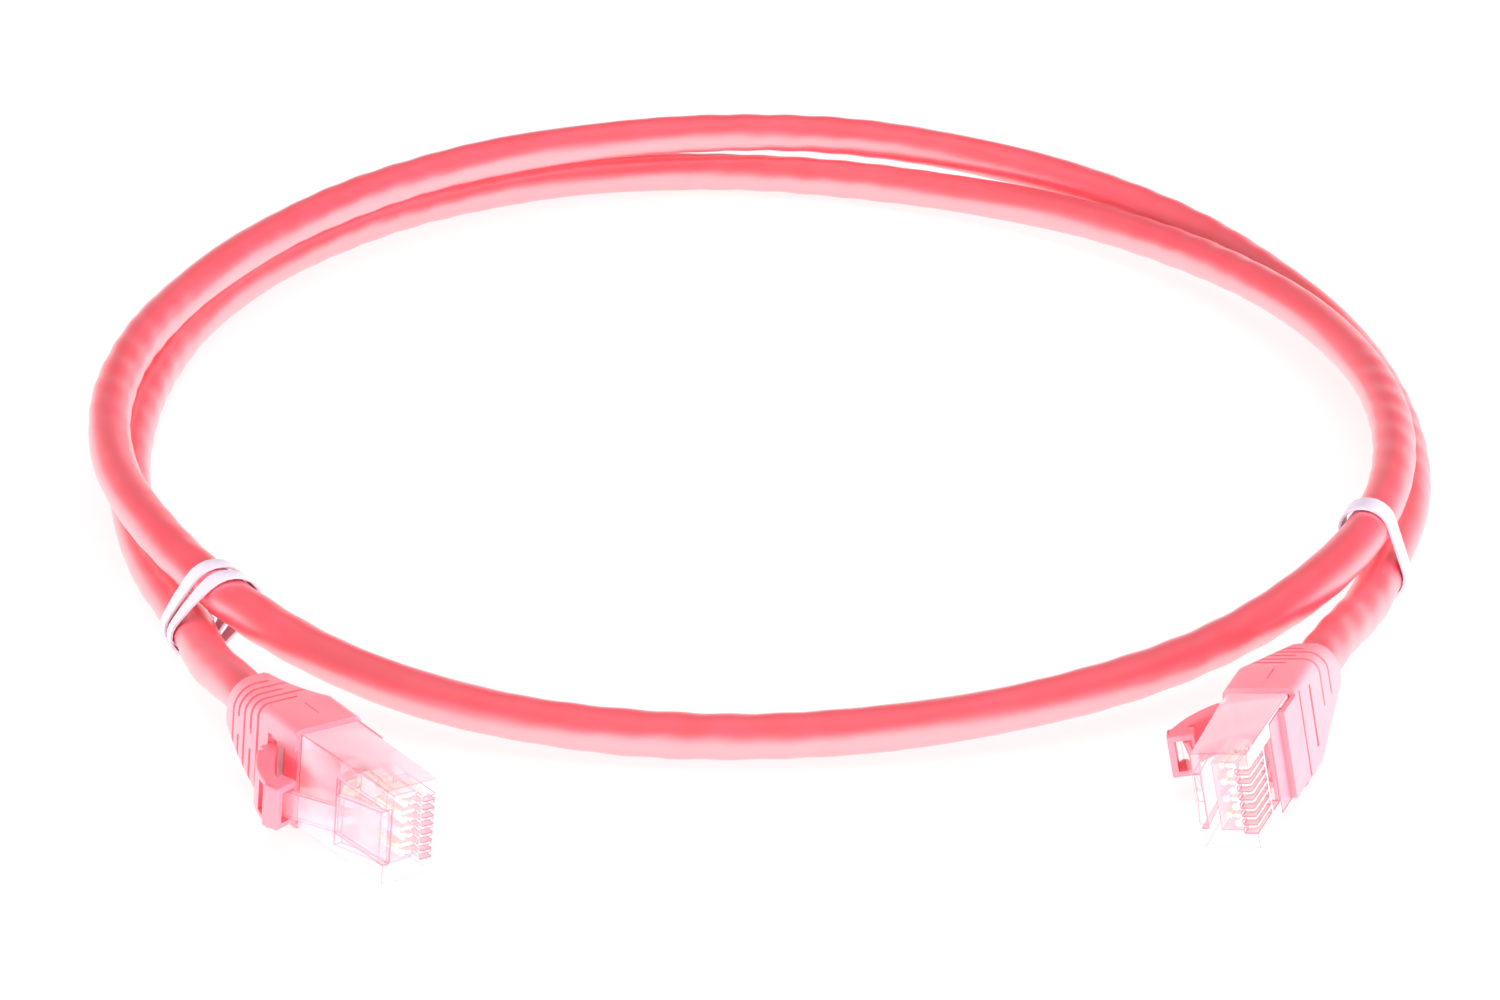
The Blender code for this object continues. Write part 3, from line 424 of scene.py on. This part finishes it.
def apply_change(piece, kind, **settings):
    """Add a modifier with its settings and apply it."""
    free()
    piece.select_set(True)
    bpy.context.view_layer.objects.active = piece
    change = piece.modifiers.new(kind, kind)
    for name, value in settings.items():
        setattr(change, name, value)
    bpy.ops.object.modifier_apply(modifier=change.name)


def cut(piece, *tools):
    """Cut the tools' shapes out of a piece."""
    for tool in tools:
        apply_change(piece, "BOOLEAN", operation="DIFFERENCE", solver="EXACT", object=tool)
        bpy.data.objects.remove(tool)


def join(piece, *tools):
    """Join the tools' shapes on to a piece."""
    for tool in tools:
        apply_change(piece, "BOOLEAN", operation="UNION", solver="EXACT", object=tool)
        bpy.data.objects.remove(tool)


def soften(piece, width, steps=2, angle=35):
    """Round the sharp edges, as a mould leaves them."""
    apply_change(
        piece, "BEVEL", width=width, segments=steps, limit_method="ANGLE",
        angle_limit=math.radians(angle), harden_normals=False,
    )


def set_in_plug(master, tag, name, body, finish, slot, *nodes):
    """Set a copy of a modelled piece in its plug, with its own mesh, riding on a body."""
    mesh = master.data.copy()
    mesh.transform(plug_places[tag] @ Matrix.Scale(0.001, 4))
    mesh.materials.clear()
    mesh.materials.append(finish)
    piece = bpy.data.objects.new(name, mesh)
    bpy.context.scene.collection.objects.link(piece)
    free()
    piece.select_set(True)
    bpy.context.view_layer.objects.active = piece
    bpy.ops.object.shade_smooth_by_angle(angle=math.radians(32))
    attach(piece, body)
    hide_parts(*nodes)


# Polycarbonate, moulded clear: glassy and colourless, with faint flow waves in its polished
# faces. Each face lets most of what is behind it through, a little milky, and is painted pink as a
# painted reflection of the red boot and jacket.
clear_pc = finish_named("clear polycarbonate, moulded")
place = add(clear_pc, "TexCoord")
flow = add(clear_pc, "TexNoise", {"Vector": place.outputs["Object"], "Scale": 420, "Detail": 2})
flow_relief = add(
    clear_pc, "Bump", {"Height": flow.outputs["Fac"], "Strength": 0.12, "Distance": 0.0001}
)
clear_rough = add(
    clear_pc, "MapRange", {"Value": flow.outputs["Fac"], "To Min": 0.02, "To Max": 0.10}
)
# Painted light: the edges are painted a deeper pink-red and made nearly opaque, standing in for
# light piped through the moulding from the red boot and jacket.
surface = add(clear_pc, "NewGeometry")
rounded = add(clear_pc, "Bevel", {"Radius": 0.0003}, samples=8)
same_way = add(
    clear_pc, "VectorMath", {0: surface.outputs["Normal"], 1: rounded.outputs[0]},
    operation="DOT_PRODUCT",
)
edge = add(
    clear_pc, "MapRange", {"Value": same_way.outputs["Value"], "From Min": 0.99, "From Max": 0.95}
)
# Painted reflection and painted light: pink over the faces, a deeper pink-red at the edges.
painted_pink_and_edge_light = add(
    clear_pc, "Mix",
    {"Factor": edge.outputs[0], "A": colour("#EFBCC6"), "B": colour("#D9667A")},
    data_type="RGBA",
)
# A face seen from the side hides more behind it, and light passes almost freely inside.
aslant = add(clear_pc, "LayerWeight", {"Blend": 0.5})
milk = add(
    clear_pc, "MapRange",
    {"Value": aslant.outputs["Facing"], "From Min": 0.41, "From Max": 0.53, "To Min": 0.3,
     "To Max": 0.88},
)
outer = add(
    clear_pc, "MapRange",
    {"Value": surface.outputs["Backfacing"], "To Min": milk.outputs[0], "To Max": 0.12},
)
seen_alpha = add(
    clear_pc, "MapRange",
    {"Value": edge.outputs[0], "To Min": outer.outputs[0], "To Max": 0.85},
)
ray = add(clear_pc, "LightPath")
inside = add(
    clear_pc, "Math",
    {0: ray.outputs["Is Shadow Ray"], 1: ray.outputs["Is Diffuse Ray"]}, operation="MAXIMUM",
)
clear_alpha = add(
    clear_pc, "MapRange",
    {"Value": inside.outputs[0], "To Min": seen_alpha.outputs[0], "To Max": 0.08},
)
clear_shader = add(
    clear_pc, "BsdfPrincipled",
    {"Base Color": painted_pink_and_edge_light.outputs["Result"], "Roughness": clear_rough.outputs[0],
     "IOR": 1.585, "Alpha": clear_alpha.outputs[0], "Normal": flow_relief.outputs[0]},
)
add(clear_pc, "OutputMaterial", {"Surface": clear_shader.outputs[0]})

housing = block("housing", (-15.9, -3.3, -5.84), (0, 3.3, 5.84))
pick(housing, "VERT", lambda v: v.co.x < -15 and v.co.y < 0)
bpy.ops.transform.translate(value=(0, -0.8, 0))
soften(housing, 0.22)
join(housing, block("neck", (-21.5, -3.7, -5.3), (-15.4, 3.1, 5.3)))
cut(
    housing,
    rod_along_x("cable bore", -23, -10.3, -0.3, 2.95),
    block("fan room", (-10.8, -2.2, -4.2), (-7.6, 1.45, 4.2)),
    block("wire room", (-8.0, -1.45, -4.2), (-1.3, 1.45, 4.2)),
    block("crimp window", (-8.2, 1.2, -3.9), (-5.6, 4, 3.9)),
    block("tongue seat", (-12.7, 2.75, -5.5), (-8.3, 4, 5.5)),
)
contact_pitch = 1.02
lowest_contact = 3.57
slot_half = 0.295
for number in range(8):
    height = number * contact_pitch - lowest_contact
    low, high = height - slot_half, height + slot_half
    slot = block("slot", (-5.1, 1.25, low), (-1.4, 4, high))
    join(slot, block("slot mouth", (-5.1, 1.7, low), (1, 4, high)))
    cut(housing, slot)
channel = block("latch channel", (-9.0, -6, -3.35), (1, -2.4, 3.35))
pick(channel, "VERT", lambda v: v.co.x < -8 and v.co.y > -3)
bpy.ops.transform.translate(value=(0, -0.9, 0))
cut(housing, channel)
for tag in "ab":
    set_in_plug(
        housing, tag, f"housing_{tag}", "cable", clear_pc, "housing", f"plug_{tag}_housing"
    )
bpy.data.objects.remove(housing)


# ---------------------------------------------------------------------------------------
# Latch tab
# It is moulded with the housing and springs on a thin root at the nose. Its shoulders
# lock the plug in its jack, and its narrow tip reaches into the boot's lever.
# ---------------------------------------------------------------------------------------
latch = block("latch", (-6.2, -3.6, -3.1), (-0.4, -2.5, 3.1))
pick(latch, "FACE", lambda f: f.normal.x < -0.9)
bpy.ops.transform.translate(value=(0, -2.1, 0))
bpy.ops.mesh.extrude_region_move()
bpy.ops.transform.resize(value=(1, 0.68, 3.26 / 6.2), center_override=(-6.2, -5.1, 0))
bpy.ops.mesh.extrude_region_move(TRANSFORM_OT_translate={"value": (-7.7, -4.2, 0)})
free()
soften(latch, 0.14)
for tag in "ab":
    set_in_plug(
        latch, tag, f"latch_{tag}", f"latch_{tag}", clear_pc, "housing", f"plug_{tag}_latch"
    )
bpy.data.objects.remove(latch)


# ---------------------------------------------------------------------------------------
# Contacts and load bar
# Eight stamped phosphor bronze blades, plated with gold, pierce the wires from above.
# A small moulded bar behind them holds the wires in two rows.
# ---------------------------------------------------------------------------------------
# Gold plate over a stamped strip: a bright metal with fine stamping lines across it.
gold_plate = finish_named("gold plate on phosphor bronze, stamped")
place = add(gold_plate, "TexCoord")
lines = add(
    gold_plate, "TexNoise",
    {"Vector": add(
        gold_plate, "Mapping", {"Vector": place.outputs["Object"], "Scale": (1, 1, 6)}
    ).outputs[0], "Scale": 1500, "Detail": 2},
)
gold_rough = add(
    gold_plate, "MapRange", {"Value": lines.outputs["Fac"], "To Min": 0.28, "To Max": 0.44}
)
gold_shader = add(
    gold_plate, "BsdfPrincipled",
    {"Base Color": colour("#F8E9DC"), "Metallic": 0.4, "Roughness": gold_rough.outputs[0]},
)
add(gold_plate, "OutputMaterial", {"Surface": gold_shader.outputs[0]})

# Natural polycarbonate: milky and smooth.
bar_plastic = finish_named("natural polycarbonate, moulded")
place = add(bar_plastic, "TexCoord")
cloud = add(bar_plastic, "TexNoise", {"Vector": place.outputs["Object"], "Scale": 700})
bar_colour = add(
    bar_plastic, "Mix",
    {"Factor": cloud.outputs["Fac"], "A": colour("#F4F2EE"), "B": colour("#FFFFFF")},
    data_type="RGBA",
)
bar_shader = add(
    bar_plastic, "BsdfPrincipled",
    {"Base Color": bar_colour.outputs["Result"], "Roughness": 0.3, "IOR": 1.585,
     "Transmission Weight": 0.6},
)
add(bar_plastic, "OutputMaterial", {"Surface": bar_shader.outputs[0]})
for tag in "ab":
    give(f"plug_{tag}_load_bar", bar_plastic)
    for number in range(1, 9):
        give(f"plug_{tag}_contact_{number}", gold_plate)


# ---------------------------------------------------------------------------------------
# Boot
# Soft PVC moulded in one with its strain relief. A collar grips the housing's neck, two
# tongues lie over its contact side, and staggered slits let the tapered tail bend.
# ---------------------------------------------------------------------------------------
# Soft PVC, moulded against a spark-eroded tool: an even satin with a fine grain, drawn
# at 0.12 mm so that it shows.
def soft_pvc(name, low, high):
    """Soft PVC, moulded, its colour slightly clouded between two tones."""
    made = finish_named(name)
    place = add(made, "TexCoord")
    grain = add(made, "TexNoise", {"Vector": place.outputs["Object"], "Scale": 8000, "Detail": 2})
    cloud = add(made, "TexNoise", {"Vector": place.outputs["Object"], "Scale": 260, "Detail": 3})
    shade = add(
        made, "Mix", {"Factor": cloud.outputs["Fac"], "A": colour(low), "B": colour(high)},
        data_type="RGBA",
    )
    relief = add(
        made, "Bump", {"Height": grain.outputs["Fac"], "Strength": 0.15, "Distance": 0.00006}
    )
    rough = add(made, "MapRange", {"Value": grain.outputs["Fac"], "To Min": 0.42, "To Max": 0.58})
    shader = add(
        made, "BsdfPrincipled",
        {"Base Color": shade.outputs["Result"], "Roughness": rough.outputs[0],
         "Normal": relief.outputs[0], "IOR": 1.53, "Coat Weight": 1.0, "Coat IOR": 2.2,
         "Coat Roughness": 0.45},
    )
    add(made, "OutputMaterial", {"Surface": shader.outputs[0]})
    return made


boot_pvc = soft_pvc("soft PVC, moulded satin", "#FF6C7E", "#FF8290")
tail_start = 22.0
tail_length = 12.2
boot_middle = -0.3
slit_depth = 0.55


def boot_ring(x, inset, kept):
    """The boot's section: a round-cornered rectangle that turns nearly round at its back."""
    share = max(0.0, (-tail_start - x) / tail_length)
    half_y, half_z = 4.35 - 0.70 * share, 6.25 - 2.45 * share
    corner = 1.0 + 2.2 * share
    ring = []
    for quarter in range(4):
        to_y = 1 if quarter in (0, 3) else -1
        to_z = 1 if quarter in (0, 1) else -1
        for step in range(7):
            turn = (quarter + step / 6) * math.pi / 2
            ring.append((
                boot_middle + to_y * (half_y - corner) + corner * math.cos(turn),
                to_z * (half_z - corner) + corner * math.sin(turn),
            ))
        last, flat = ring[-1], (12, 16)[quarter % 2]
        after = {
            0: (boot_middle - half_y + corner, half_z),
            1: (boot_middle - half_y, corner - half_z),
            2: (boot_middle + half_y - corner, -half_z),
            3: (boot_middle + half_y, half_z - corner),
        }[quarter]
        for step in range(1, flat):
            share_along = step / flat
            ring.append(tuple(a + (b - a) * share_along for a, b in zip(last, after)))
    points = []
    for y, z in ring:
        deep = 0 if kept(y, z) else inset
        points.append((
            x, (y - boot_middle) * (1 - deep / half_y) + boot_middle,
            z * (1 - deep / half_z),
        ))
    return points


def whole(y, z):
    """No part of the ring is sunk."""
    return True


def slit_outer(y, z):
    """The first, third and fifth slits wrap only the latch side."""
    return y > 0.4


def slit_inner(y, z):
    """The second and fourth slits wrap both sides, bridged once on each face."""
    return (y < -2.5 and -0.6 < z < 1.9) or (y > 2.2 and z < -0.4)


boot_rings = [boot_ring(-16.2, 0, whole), boot_ring(-tail_start, 0, whole)]
for rib in range(5):
    x = -23.9 - rib * 1.75
    kept = slit_inner if rib % 2 else slit_outer
    for back, inset in ((0, 0), (0.1, slit_depth), (0.45, slit_depth), (0.55, 0)):
        boot_rings.append(boot_ring(x - back, inset, kept))
boot_rings += [
    boot_ring(-33.7, 0, whole), boot_ring(-34.1, 0.12, slit_outer),
    boot_ring(-34.2, 0.35, slit_outer),
]
sides = len(boot_rings[0])
last = (len(boot_rings) - 1) * sides
boot_faces = []
for first in range(0, last, sides):
    for k in range(sides):
        j = (k + 1) % sides
        boot_faces.append((first + k, first + j, first + sides + j, first + sides + k))
boot_faces += [tuple(range(sides)), tuple(last + k for k in range(sides))]
boot_mesh = bpy.data.meshes.new("boot")
boot_mesh.from_pydata([point for ring in boot_rings for point in ring], [], boot_faces)
boot = bpy.data.objects.new("boot", boot_mesh)
bpy.context.scene.collection.objects.link(boot)
pick(boot, "FACE", lambda f: True)
bpy.ops.mesh.normals_make_consistent(inside=False)
free()
tongues = block("tongues", (-17.4, 3.5, -5.34), (-11.8, 4.04, 5.34))
join(
    tongues,
    block("tongue lip", (-12.5, 2.95, -5.34), (-11.8, 3.8, 5.34)),
    block("thin tongue", (-12.3, 2.95, -5.34), (-8.5, 3.32, 5.34)),
)
# The joined blocks share flat sides, whose leftover slivers are merged away.
pick(tongues, "FACE", lambda f: True)
bpy.ops.mesh.dissolve_limited(angle_limit=math.radians(1))
bpy.ops.mesh.select_all(action="SELECT")
bpy.ops.mesh.remove_doubles(threshold=0.001)
bpy.ops.mesh.dissolve_degenerate(threshold=0.001)
free()
join(boot, tongues)
cut(
    boot,
    block("neck pocket", (-21.7, -3.9, -5.5), (-14, 3.3, 5.5)),
    rod_along_x("cable bore", -35, -21, -0.3, 3.05),
    block("contact side slot", (-21.5, 3.6, -3.3), (-20.9, 5, 4.4)),
    block("tongue root groove", (-17.75, 3.7, -5.34), (-17.3, 5, 5.34)),
    block("parting line", (-21.6, -0.08, 6.13), (-18.8, 0.08, 7)),
    block("lever recess", (-21.8, -6, -3.6), (-14, -4.25, 3.6)),
    block("lever opening", (-21.8, -6, -2.9), (-18.8, -3, 2.9)),
)
for tag in "ab":
    leaning = bpy.data.objects.new("leaning", boot.data.copy())
    aside, up = (lean * 1000 for lean in tail_lean[tag])
    for vertex in leaning.data.vertices:
        share = max(0.0, (-vertex.co.x - tail_start) / tail_length)
        vertex.co += Vector((0, aside, up)) * share**2
    set_in_plug(leaning, tag, f"boot_{tag}", "cable", boot_pvc, "boot", f"plug_{tag}_boot")
    bpy.data.objects.remove(leaning)
bpy.data.objects.remove(boot)


# ---------------------------------------------------------------------------------------
# Boot lever
# The boot's own snagless finger, in the same soft PVC. It arches forward over the latch
# and holds the latch's tip in the window of its pad.
# ---------------------------------------------------------------------------------------
# The finger is the boot's own soft PVC, given a deeper copy of its colour that is painted shade.
shaded_lever_pvc = soft_pvc("soft PVC, moulded satin, painted shade", "#FF6478", "#FF7688")

lever_line = (
    (-19.461, -6.161, 2.3), (-18.574, -6.935, 2.2), (-17.639, -7.621, 2.1),
    (-16.656, -8.219, 2.0), (-15.624, -8.73, 1.85), (-14.545, -9.153, 1.7),
    (-13.417, -9.489, 1.6), (-12.24, -9.737, 1.5),
)
lever_half = 2.6


def draw_out(piece, line, half):
    """Extrude the picked face along X, Y points, each with its thickness."""
    for i in range(1, len(line)):
        before = Vector(line[i - 1][:2])
        here = Vector(line[i][:2])
        after = Vector(line[min(i + 1, len(line) - 1)][:2])
        way = (after - before).normalized()
        across = Vector((-way.y, way.x)) * line[i][2] / 2
        bpy.ops.mesh.extrude_region_move()
        shape = bmesh.from_edit_mesh(piece.data)
        for vertex in [v for v in shape.verts if v.select]:
            outer = (vertex.co.xy - before) @ Vector((-way.y, way.x)) > 0
            spot = here + across if outer else here - across
            vertex.co = (*spot, math.copysign(half, vertex.co.z))
        bmesh.update_edit_mesh(piece.data)


lever = block("lever", (-21.1, -6.2, -lever_half), (-20.0, -4.4, lever_half))
pick(lever, "FACE", lambda f: f.normal.x > 0.9)
draw_out(lever, ((-20.3, -5.3, 2.4),) + lever_line, lever_half)
free()
pad_place = Matrix.Translation((-12.6, -8.574, 0)) @ Matrix.Rotation(math.radians(17.2), 4, "Z")
pad = block("pad", (-1.1, -1.967, -lever_half), (1.1, 1.267, lever_half))
pad.data.transform(pad_place)
join(lever, pad)
soften(lever, 0.25, 3)
window = block("window", (-3, -1.17, -1.88), (3, 0.82, 1.88))
window.data.transform(pad_place)
cut(lever, window)
for tag in "ab":
    set_in_plug(
        lever, tag, f"lever_{tag}", f"lever_{tag}", shaded_lever_pvc, "boot", f"plug_{tag}_boot_lever"
    )
bpy.data.objects.remove(lever)


# ---------------------------------------------------------------------------------------
# Twist ties
# A soft steel wire in a flat plastic coating, wound round both strands. The left one goes
# round twice.
# ---------------------------------------------------------------------------------------
# Plastic coating, extruded over the wire: smooth and slightly blue-white, painted a pinkish lilac
# that is a painted reflection of the red cable.
tie_coat = finish_named("white plastic coating, extruded")
place = add(tie_coat, "TexCoord")
cloud = add(tie_coat, "TexNoise", {"Vector": place.outputs["Object"], "Scale": 500, "Detail": 2})
tie_white_and_painted_pink = add(
    tie_coat, "Mix",
    {"Factor": cloud.outputs["Fac"], "A": colour("#C2B2C0"), "B": colour("#CCC2D0")},
    data_type="RGBA",
)
tie_relief = add(
    tie_coat, "Bump", {"Height": cloud.outputs["Fac"], "Strength": 0.1, "Distance": 0.0001}
)
tie_shader = add(
    tie_coat, "BsdfPrincipled",
    {"Base Color": tie_white_and_painted_pink.outputs["Result"], "Roughness": 0.35, "IOR": 1.5,
     "Normal": tie_relief.outputs[0]},
)
add(tie_coat, "OutputMaterial", {"Surface": tie_shader.outputs[0]})

# Drawn steel: bright, with fine lines along it.
tie_steel = finish_named("soft steel, drawn")
place = add(tie_steel, "TexCoord")
lines = add(tie_steel, "TexNoise", {"Vector": place.outputs["Object"], "Scale": 4000})
steel_rough = add(
    tie_steel, "MapRange", {"Value": lines.outputs["Fac"], "To Min": 0.25, "To Max": 0.4}
)
steel_shader = add(
    tie_steel, "BsdfPrincipled",
    {"Base Color": colour("#B4B6BA"), "Metallic": 1.0, "Roughness": steel_rough.outputs[0]},
)
add(tie_steel, "OutputMaterial", {"Surface": steel_shader.outputs[0]})

for tag in "ab":
    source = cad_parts[f"twist_tie_{tag}_coating"]
    tie = bpy.data.objects.new(f"tie_{tag}", source.data.copy())
    bpy.context.scene.collection.objects.link(tie)
    tie.data.materials.clear()
    tie.data.materials.append(tie_coat)
    pick(tie, "FACE", lambda f: True)
    bpy.ops.mesh.remove_doubles(threshold=0.000005)
    bpy.ops.mesh.tris_convert_to_quads(face_threshold=math.radians(60), shape_threshold=math.pi)
    free()
    soften(tie, 0.00012, 2, 60)
    for face in tie.data.polygons:
        face.use_smooth = True
    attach(tie, "cable")
    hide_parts(f"twist_tie_{tag}_coating")
    give(f"twist_tie_{tag}_wire", tie_steel)

far_plug = [f"plug_b_contact_{i}" for i in range(1, 9)] + [f"plug_b_wire_{i}" for i in range(1, 9)]
far_plug = [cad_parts[name] for name in far_plug + ["plug_b_load_bar"]]
far_plug += [bpy.data.objects[name] for name in ("housing_b", "latch_b", "boot_b", "lever_b")]


# ---------------------------------------------------------------------------------------
# Floor and light
# A plain white sweep, lit softly from above and from low in front and at both sides.
# ---------------------------------------------------------------------------------------
free()
bpy.ops.mesh.primitive_plane_add(size=4, location=(0, 0, -0.00017))
floor = bpy.context.object
floor.name = "floor"
white_floor = finish_named("white paper sweep")
ray = add(white_floor, "LightPath")
seen = add(
    white_floor, "Math",
    {0: ray.outputs["Is Camera Ray"], 1: ray.outputs["Is Glossy Ray"]}, operation="MAXIMUM",
)
seen = add(
    white_floor, "Math", {0: seen.outputs[0], 1: ray.outputs["Is Transmission Ray"]},
    operation="MAXIMUM",
)
share = add(white_floor, "Math", {0: seen.outputs[0], 1: 0.8}, operation="MULTIPLY")
paper = add(white_floor, "BsdfDiffuse", {"Color": colour("#FAFAFA")})
mirrored = add(
    white_floor, "MapRange", {"Value": ray.outputs["Is Glossy Ray"], "To Min": 1.0, "To Max": 1.35}
)
glow = add(
    white_floor, "Emission", {"Color": colour("#FFFFFF"), "Strength": mirrored.outputs[0]}
)
blend = add(
    white_floor, "MixShader", {0: share.outputs[0], 1: paper.outputs[0], 2: glow.outputs[0]}
)
add(white_floor, "OutputMaterial", {"Surface": blend.outputs[0]})
floor.data.materials.append(white_floor)


def lamp(name, size, power, place, aim):
    """A soft rectangular lamp, aimed at a point."""
    light = bpy.data.lights.new(name, "AREA")
    light.shape = "RECTANGLE"
    light.size, light.size_y = size
    light.energy = power
    made = bpy.data.objects.new(name, light)
    made.location = place
    made.rotation_euler = (Vector(aim) - Vector(place)).to_track_quat("-Z", "Y").to_euler()
    made.visible_glossy = False
    bpy.context.scene.collection.objects.link(made)


lamp("overhead softbox", (0.9, 0.7), 5.5, (0.0, 0.15, 0.9), (0, 0.05, 0))
lamp("low front softbox", (1.4, 0.3), 13.0, (0.1, -0.9, 0.16), (0, 0.0, 0))
lamp("low right softbox", (0.8, 0.3), 12.0, (0.9, 0.1, 0.16), (0, 0.05, 0))
lamp("low left softbox", (0.8, 0.3), 6.0, (-0.9, 0.1, 0.16), (0, 0.05, 0))
world = bpy.data.worlds.new("studio")
bpy.context.scene.world = world
world.use_nodes = True
world.node_tree.nodes.clear()
ray = add(world, "LightPath")
clear = add(
    world, "Math", {0: ray.outputs["Is Camera Ray"], 1: ray.outputs["Is Transmission Ray"]},
    operation="MAXIMUM",
)
lift = add(
    world, "Math", {0: clear.outputs[0], 1: 0.45, 2: 0.55}, operation="MULTIPLY_ADD",
)
# In reflections the studio is dark above, with a low bright wall at the back that grows
# brighter to the right.
way = add(world, "TexCoord")
split = add(world, "SeparateXYZ", {0: way.outputs["Generated"]})
low = add(world, "MapRange", {"Value": split.outputs["Z"], "From Min": 0.46, "From Max": 0.1})
behind = add(world, "MapRange", {"Value": split.outputs["Y"], "From Min": 0.3, "From Max": 0.75})
rightward = add(
    world, "MapRange",
    {"Value": split.outputs["X"], "From Min": -0.45, "From Max": 0.45, "To Min": 0.5,
     "To Max": 1.1},
)
wall = add(world, "Math", {0: low.outputs[0], 1: behind.outputs[0]}, operation="MULTIPLY")
wall = add(
    world, "Math", {0: wall.outputs[0], 1: rightward.outputs[0], 2: 0.06},
    operation="MULTIPLY_ADD",
)
dim = add(
    world, "MapRange",
    {"Value": ray.outputs["Is Glossy Ray"], "To Min": lift.outputs[0], "To Max": wall.outputs[0]},
)
sky = add(world, "Background", {"Color": colour("#FFFFFF"), "Strength": dim.outputs[0]})
add(world, "OutputWorld", {"Surface": sky.outputs[0]})
bpy.context.scene.view_settings.view_transform = "Standard"
